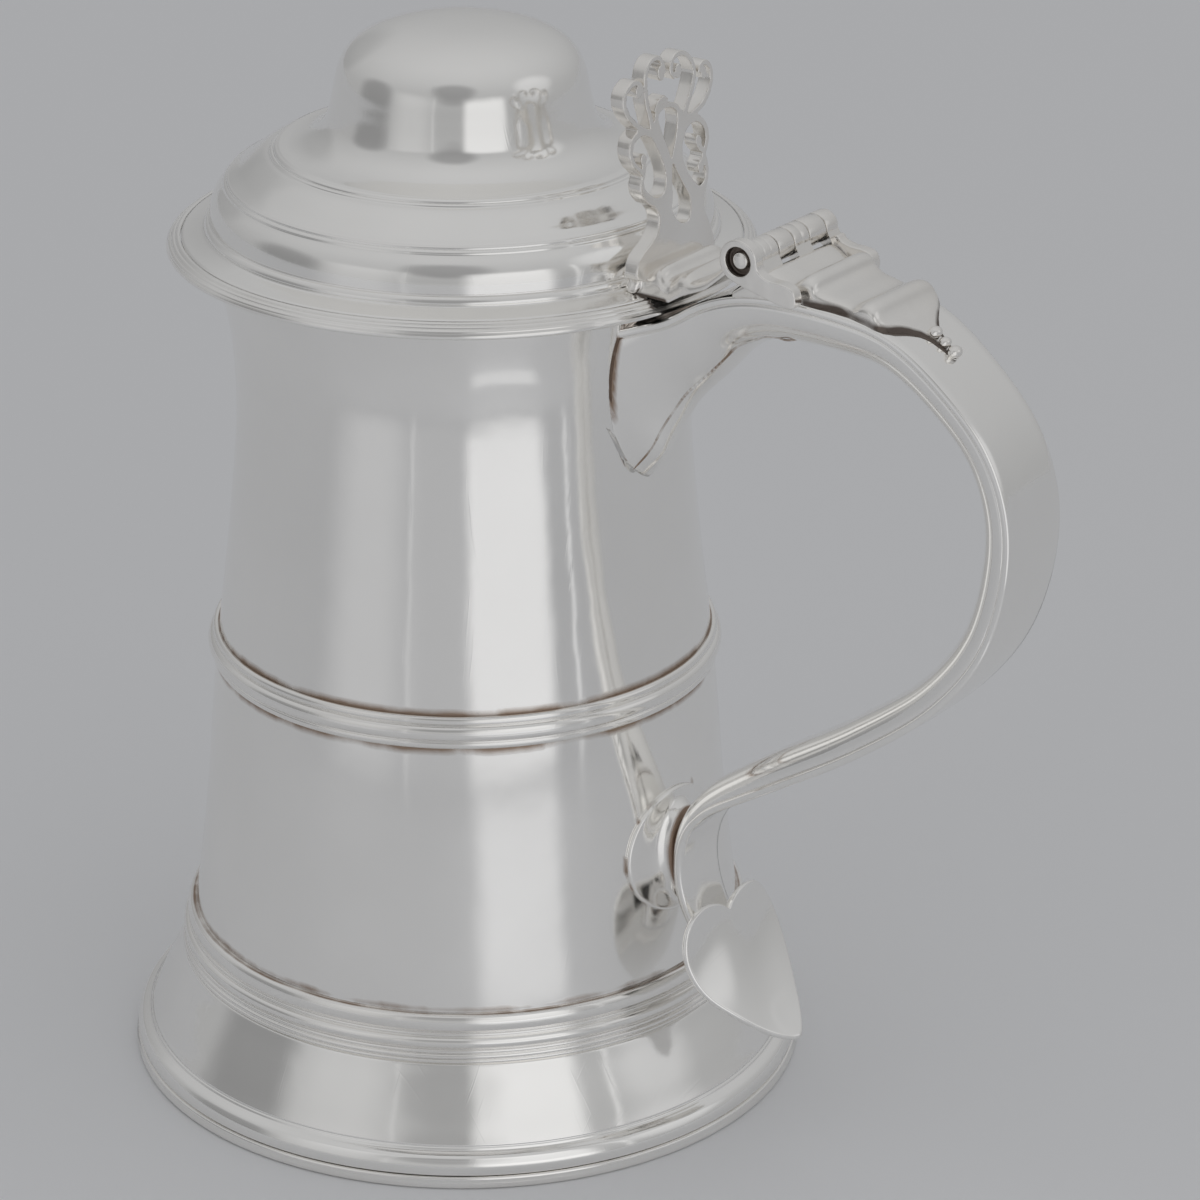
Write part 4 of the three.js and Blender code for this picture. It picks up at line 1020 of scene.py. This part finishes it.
for number in range(1, 6):
    low, high = knuckleSet["ends"][number - 1] + knuckleSet["gap"], knuckleSet["ends"][number] - knuckleSet["gap"]
    bore = knuckleSet["bore"]
    if number == 1:
        line = [(bore, low + 1.5), (2.62, low + 1.5), (2.62, low + 0.3), (3.3, low + 0.25), (3.3, low + 2.0), (2.75, low + 2.2)]
        line += barrelLine(low + 2.3, high, (low + 4.4, low + 6.3)) + [(bore, high)]
    elif number == 5:
        line = [(0, high - 0.8)] + [(bore, high - 0.8), (bore, low)] + barrelLine(low, high - 0.6)[:-3] + tuples(softCurve([(2.7, high - 0.6), (2.62, high - 0.1), (2.2, high + 0.35), (1.3, high + 0.65), (0, high + 0.75)], 4))
    else:
        line = [(bore, low)] + barrelLine(low, high, ((low + high) / 2,) if number == 3 else ()) + [(bore, high)]
    barrel = turn("knuckle%d" % number, [(r, y) for r, y in line], "cast", 64, upright=False)
    body = "tankard" if number % 2 else "lid"
    # tang that ties the knuckle to its plate
    if number % 2:
        tangOutline = [(hinge["x"] + 0.4, 171.4), (73.2, 169.4), (73.6, 170.6), (hinge["x"] + 1.6, 174.9)]
    else:
        tangOutline = [(hinge["x"] - 0.6, 170.9), (65.2, 169.3), (64.6, 170.9), (hinge["x"] - 1.8, 175.1)]
    reachLow = -10.6 if number == 1 else low + 0.02
    tang = bevelPlate("tang%d" % number, tangOutline, reachLow, high - 0.02)
    outward(barrel)
    if number == 1:
        cheek = pierced("cheek", cheekOutline, [cupOutline], 2.2, lambda a, u, d: Vector((a + bodyAxis, low - 0.03 + d, u)))
        barrel = castTogether("knuckle1", [barrel, tang, cheek], 0.12, 3, 0.5)
        cupFloor = [(hinge["x"] + r * cos(a), low + 1.4, hinge["z"] + r * sin(a)) for r in (1.4, 2.0, 2.5) for a in np.linspace(0, 2 * pi, 40)]
        markCrevices(barrel, 1.4, 1, cupFloor, 0.9, 2.7)
    else:
        bm = bmesh.new()
        bm.from_mesh(barrel.data)
        bm.from_mesh(tang.data)
        bm.to_mesh(barrel.data)
        bm.free()
        bpy.data.objects.remove(tang)
        markCrevices(barrel, 1.4, 1)
    finishPiece(barrel, "cast", body, "knuckle_%d" % number)

pin = turn("hingePin", [(0, -12.9)] + tuples(softCurve([(0.8, -12.86), (1.35, -12.68), (1.6, -12.3)], 5)) + [(1.6, -11.85), (0.95, -11.8), (0.95, 12.0), (0, 12.0)], "cast", 40, upright=False)
markCrevices(pin)
finishPiece(pin, "cast", "tankard", "hinge_pin", slot="soldered")
print("hinge made")

# lid
lidSet = {
    "dome": [(0, 200.6), (4.5, 200.5), (9, 200.15), (13.0, 199.4), (16.4, 198.2), (19.2, 196.5), (21.1, 194.3), (22.2, 191.6), (22.9, 188.4), (23.6, 185.2), (24.5, 182.5), (25.9, 180.6), (28.0, 179.2), (30.6, 178.4), (32.9, 178.1)],
    "slope": [(34.5, 176.85), (35.6, 176.5), (37.2, 175.6), (38.8, 174.4), (40.2, 173.3), (41.6, 172.55)],
    "ovolo": [(43.0, 171.0), (44.1, 169.7), (44.9, 168.2), (45.35, 166.5), (45.5, 164.9)],
}
lidOutline = tuples(softCurve(lidSet["dome"], 6))
lidOutline += reed((33.15, 177.95), (33.75, 177.35), 0.16, 5) + reed((33.85, 177.3), (34.4, 176.95), 0.14, 5)
lidOutline += tuples(softCurve(lidSet["slope"], 6))
lidOutline += reed((41.8, 172.4), (42.2, 171.9), 0.15, 5) + reed((42.3, 171.8), (42.85, 171.2), 0.15, 5)
lidOutline += tuples(softCurve(lidSet["ovolo"], 6))
lidOutline += [(45.45, 164.75), (45.55, 164.65)] + reed((45.75, 164.6), (46.5, 163.35), 0.22, 6)
lidOutline += [(46.45, 163.2), (46.6, 163.05), (46.9, 162.95)]
lidOutline += tuples(softCurve([(47.2, 162.85), (48.8, 162.4), (50.5, 162.0)], 4))
lidOutline += [(50.6, 160.7), (45.0, 161.5)]
lidOutline += tuples(softCurve([(44.5, 163.6), (44.0, 166.6), (42.9, 168.8), (41.0, 170.4), (38.0, 172.9), (33.0, 175.6), (27.4, 177.6), (24.2, 180.2), (22.7, 184.2), (21.6, 189.0), (20.2, 193.2), (18.0, 195.9), (13.2, 198.1), (7, 199.2), (0, 199.4)], 4))
cover = turn("lidCover", lidOutline, "polished", 256, 0.10, 34, seed=17.0)
markCrevices(cover, 1.5, 1)
finishPiece(cover, "polished", "lid", "lid_cover")

edgeOutline = [(50.75, 161.95)] + reed((50.9, 161.9), (51.6, 161.6), 0.16, 5) + reed((51.7, 161.5), (52.35, 161.15), 0.16, 5) + reed((52.45, 161.05), (53.0, 160.6), 0.14, 5)
edgeOutline += tuples(softCurve([(53.1, 160.5), (53.32, 160.0), (53.25, 159.6), (53.0, 159.4)], 4)) + [(50.75, 160.3)]
edge = turn("lidEdgeWire", edgeOutline, "turned", 256, 0.03, 60, seed=19.0)
markCrevices(edge, 1.6, 1)
finishPiece(edge, "turned", "lid", "lid_edge_wire")

bezel = turn("lidBezel", [(42.15, 156.3), (42.5, 156.05), (42.95, 156.1), (43.6, 161.6), (43.35, 163.9), (42.3, 163.9), (42.35, 161.0)], "inside", 192, 0.05, 40)
markCrevices(bezel)
finishPiece(bezel, "inside", "lid", "lid_bezel")

# saddle: ridged block under the thumbpiece
saddleSet = {
    "near": -11.3, "far": 8.3,
    "top": [(43.5, 166.2), (46.0, 166.4), (48.9, 166.3), (49.6, 166.9), (50.3, 167.6), (51.1, 167.75), (51.9, 167.4), (52.5, 166.6), (53.2, 166.15), (54.1, 166.3), (54.9, 167.0), (55.8, 167.55), (56.8, 167.5), (57.7, 166.95), (58.6, 166.75), (60.2, 167.3), (62.4, 168.8), (64.2, 170.4), (65.6, 171.9)],
}


def coverTop(x, y):
    r = hypot(x, y)
    outer = [p for p in lidOutline if p[1] > 160.8 and p[0] < 50.7][:140]
    xs, zs = zip(*sorted((p[0], p[1]) for p in outer if p[1] > 161.9 or p[0] > 50))
    return float(np.interp(r, xs, zs, right=161.8))


def saddleBlock():
    near, far = saddleSet["near"], saddleSet["far"]
    top = softCurve(saddleSet["top"], 4)
    rings = []
    for p in top:
        x = p[0]
        ring = []
        for k in range(33):
            a = pi * k / 32
            c, s = cos(a), sin(a)
            y = (near + far) / 2 + (near - far) / 2 * (abs(c) ** 0.24) * (1 if c > 0 else -1)
            ring.append((x, y, s ** 0.6))
        floor = []
        full = []
        for (x, y, f) in ring:
            low = 162.1 if x < 53.6 else float(np.interp(x, [53.6, 56.6, 61.4, 65.6], [162.0, 163.9, 166.0, 169.6]))
            full.append(Vector((x + bodyAxis, y, low + (p[1] - low) * f)))
        low = full[0].z
        full += [Vector((x + bodyAxis, far * 0.97 + (near - far) * 0.97 * k / 6, low)) for k in range(1, 6)]
        rings.append(full)
    return skin("saddle", rings)


saddleParts = [saddleBlock()]
# round roll along the foot of the thumbpiece, turned down at its near end
rollRings = []
for k in range(41):
    share = k / 40
    y = saddleSet["near"] - 1.5 + share * (saddleSet["far"] - saddleSet["near"] + 1.8)
    radius = 1.75 * (1 - abs(2 * share - 1) ** 9) ** 0.5 + 0.02
    drop = 1.6 * max(0, 1 - share / 0.16) ** 1.5
    rollRings.append([Vector((46.6 + bodyAxis + radius * cos(a), y, 164.9 - drop + radius * sin(a))) for a in np.linspace(0, 2 * pi, 24, endpoint=False)])
saddleParts.append(skin("roll", rollRings))
saddle = castTogether("lidSaddle", saddleParts, 0.2, 4, 0.7)
markCrevices(saddle, 1.5, 3, [(x, saddleSet["near"] - 0.3, 162.3) for x in np.linspace(44, 53, 60)], 0.6, 6.6)
finishPiece(saddle, "cast", "lid", "lid_saddle")
print("lid made")

# floor, light and camera
stageSet = {
    "floor": (0.80, 0.805, 0.82),
    "sky": {"horizon": 0.40, "zenith": 0.56, "tint": (0.985, 0.99, 1.0), "gaps": [(-8, 33, 0.35), (-85, 8, 0.35), (75, 25, -0.35), (-150, 15, 0.15)]},
    "lights": [
        {"name": "leftBox", "azimuth": -43, "far": 0.27, "low": -0.01, "size": (0.26, 0.31), "glow": 0.12, "edge": 0.42},
        {"name": "frontCard", "azimuth": -9, "far": 0.29, "low": -0.01, "size": (0.16, 0.20), "glow": 0.055, "edge": 0.10},
        {"name": "leftStrip", "azimuth": -24, "far": 0.27, "low": -0.01, "size": (0.012, 0.31), "glow": 0.13, "edge": 0.30},
        {"name": "rightBox", "azimuth": 19.5, "far": 0.27, "low": -0.01, "size": (0.21, 0.31), "glow": 0.36, "edge": 0.18},
        {"name": "rightStrip", "azimuth": 48, "far": 0.27, "low": -0.01, "size": (0.010, 0.31), "glow": 0.30, "edge": 0.20},
        {"name": "lowCard", "azimuth": 19.5, "far": 0.17, "low": -0.003, "size": (0.115, 0.037), "glow": 0.19, "edge": 0.20},
    ],
}


def plainMaterial(name, colour, rough):
    material = bpy.data.materials.new(name)
    material.use_nodes = True
    shader = material.node_tree.nodes["Principled BSDF"]
    shader.inputs["Base Color"].default_value = colour + (1,)
    shader.inputs["Roughness"].default_value = rough
    shader.inputs["Specular IOR Level"].default_value = 0.2
    return material


floor = meshObject("floor", [(-25, -25, 0), (25, -25, 0), (25, 25, 0), (-25, 25, 0)], [(0, 1, 2, 3)])
floor.data.materials.append(plainMaterial("paleFloor", stageSet["floor"], 0.7))

middle = Vector((bodyAxis * mm, 0, 0.09))
cameraSet = {"at": (0.4463, -0.6000, 0.4145), "toward": (-0.5474, 0.7397, -0.3913), "roll": 0.00598, "lens": 133.66}
facing = atan2(cameraSet["at"][1] - middle.y, cameraSet["at"][0] - middle.x)


def towards(azimuth, elevation):
    a, e = facing + radians(azimuth), radians(elevation)
    return Vector((cos(a) * cos(e), sin(a) * cos(e), sin(e)))


# grey room: lighter overhead, darker between the two soft boxes
def studioSky(settings):
    world = bpy.data.worlds.new("studio")
    scene.world = world
    world.use_nodes = True
    nodes, links = world.node_tree.nodes, world.node_tree.links
    back = nodes["Background"]
    back.inputs["Color"].default_value = settings["tint"] + (1,)
    look = nodes.new("ShaderNodeTexCoord")
    split = nodes.new("ShaderNodeSeparateXYZ")
    rise = nodes.new("ShaderNodeMapRange")
    rise.inputs["From Min"].default_value, rise.inputs["From Max"].default_value = 0.05, 1.0
    rise.inputs["To Min"].default_value, rise.inputs["To Max"].default_value = settings["horizon"], settings["zenith"]
    links.new(look.outputs["Generated"], split.inputs[0])
    links.new(split.outputs["Z"], rise.inputs["Value"])
    strength = rise.outputs[0]
    for azimuth, elevation, depth in settings["gaps"]:
        aim = nodes.new("ShaderNodeVectorMath")
        aim.operation = "DOT_PRODUCT"
        aim.inputs[1].default_value = towards(azimuth, elevation)
        gap = nodes.new("ShaderNodeMapRange")
        gap.interpolation_type = "SMOOTHSTEP"
        gap.inputs["From Min"].default_value, gap.inputs["From Max"].default_value = 0.92, 0.985
        gap.inputs["To Min"].default_value, gap.inputs["To Max"].default_value = 1.0, 1.0 - depth
        both = nodes.new("ShaderNodeMath")
        both.operation = "MULTIPLY"
        links.new(look.outputs["Generated"], aim.inputs[0])
        links.new(aim.outputs["Value"], gap.inputs["Value"])
        links.new(strength, both.inputs[0])
        links.new(gap.outputs[0], both.inputs[1])
        strength = both.outputs[0]
    links.new(strength, back.inputs["Strength"])


studioSky(stageSet["sky"])

camera = bpy.data.objects.new("camera", bpy.data.cameras.new("camera"))
camera.data.sensor_width = 36.0
camera.data.lens = cameraSet["lens"]
camera.data.clip_end = 60.0
forward = Vector(cameraSet["toward"]).normalized()
right = forward.cross(Vector((0, 0, 1))).normalized()
up = right.cross(forward)
c, s = cos(cameraSet["roll"]), sin(cameraSet["roll"])
right, up = right * c + up * s, up * c - right * s
turnTo = Matrix((right, up, -forward)).transposed().to_4x4()
camera.matrix_world = Matrix.Translation(cameraSet["at"]) @ turnTo
scene.collection.objects.link(camera)
scene.camera = camera


# upright soft box with faded edges, standing on the floor and facing the tankard
def softBox(settings):
    width, height = settings["size"]
    lamp = bpy.data.lights.new(settings["name"], "AREA")
    lamp.shape = "RECTANGLE"
    lamp.size, lamp.size_y = width, height
    lamp.energy = pi * width * height * settings["glow"]
    lamp.use_nodes = True
    nodes, links = lamp.node_tree.nodes, lamp.node_tree.links
    glow = nodes["Emission"]
    across = nodes.new("ShaderNodeNewGeometry")
    split = nodes.new("ShaderNodeSeparateXYZ")
    links.new(across.outputs["Parametric"], split.inputs[0])
    fades = []
    for axis, reach in (("X", settings["edge"]), ("Y", 0.12)):
        off = nodes.new("ShaderNodeMath")
        off.operation = "SUBTRACT"
        off.inputs[1].default_value = 0.5
        size = nodes.new("ShaderNodeMath")
        size.operation = "ABSOLUTE"
        fade = nodes.new("ShaderNodeMapRange")
        fade.interpolation_type = "SMOOTHSTEP"
        fade.inputs["From Min"].default_value, fade.inputs["From Max"].default_value = 0.5 - reach, 0.5
        fade.inputs["To Min"].default_value, fade.inputs["To Max"].default_value = 1.0, 0.0
        links.new(split.outputs[axis], off.inputs[0])
        links.new(off.outputs[0], size.inputs[0])
        links.new(size.outputs[0], fade.inputs["Value"])
        fades.append(fade.outputs[0])
    whole = nodes.new("ShaderNodeMath")
    whole.operation = "MULTIPLY"
    links.new(fades[0], whole.inputs[0])
    links.new(fades[1], whole.inputs[1])
    links.new(whole.outputs[0], glow.inputs["Strength"])
    spot = middle + towards(settings["azimuth"], 0) * settings["far"]
    spot.z = settings["low"] + height / 2
    aim = Vector((middle.x - spot.x, middle.y - spot.y, 0))
    light = bpy.data.objects.new(settings["name"], lamp)
    light.matrix_world = Matrix.Translation(spot) @ aim.to_track_quat("-Z", "Y").to_matrix().to_4x4()
    scene.collection.objects.link(light)


for box in stageSet["lights"]:
    softBox(box)

scene.view_settings.view_transform = "Standard"
scene.view_settings.look = "None"
print("stage set")
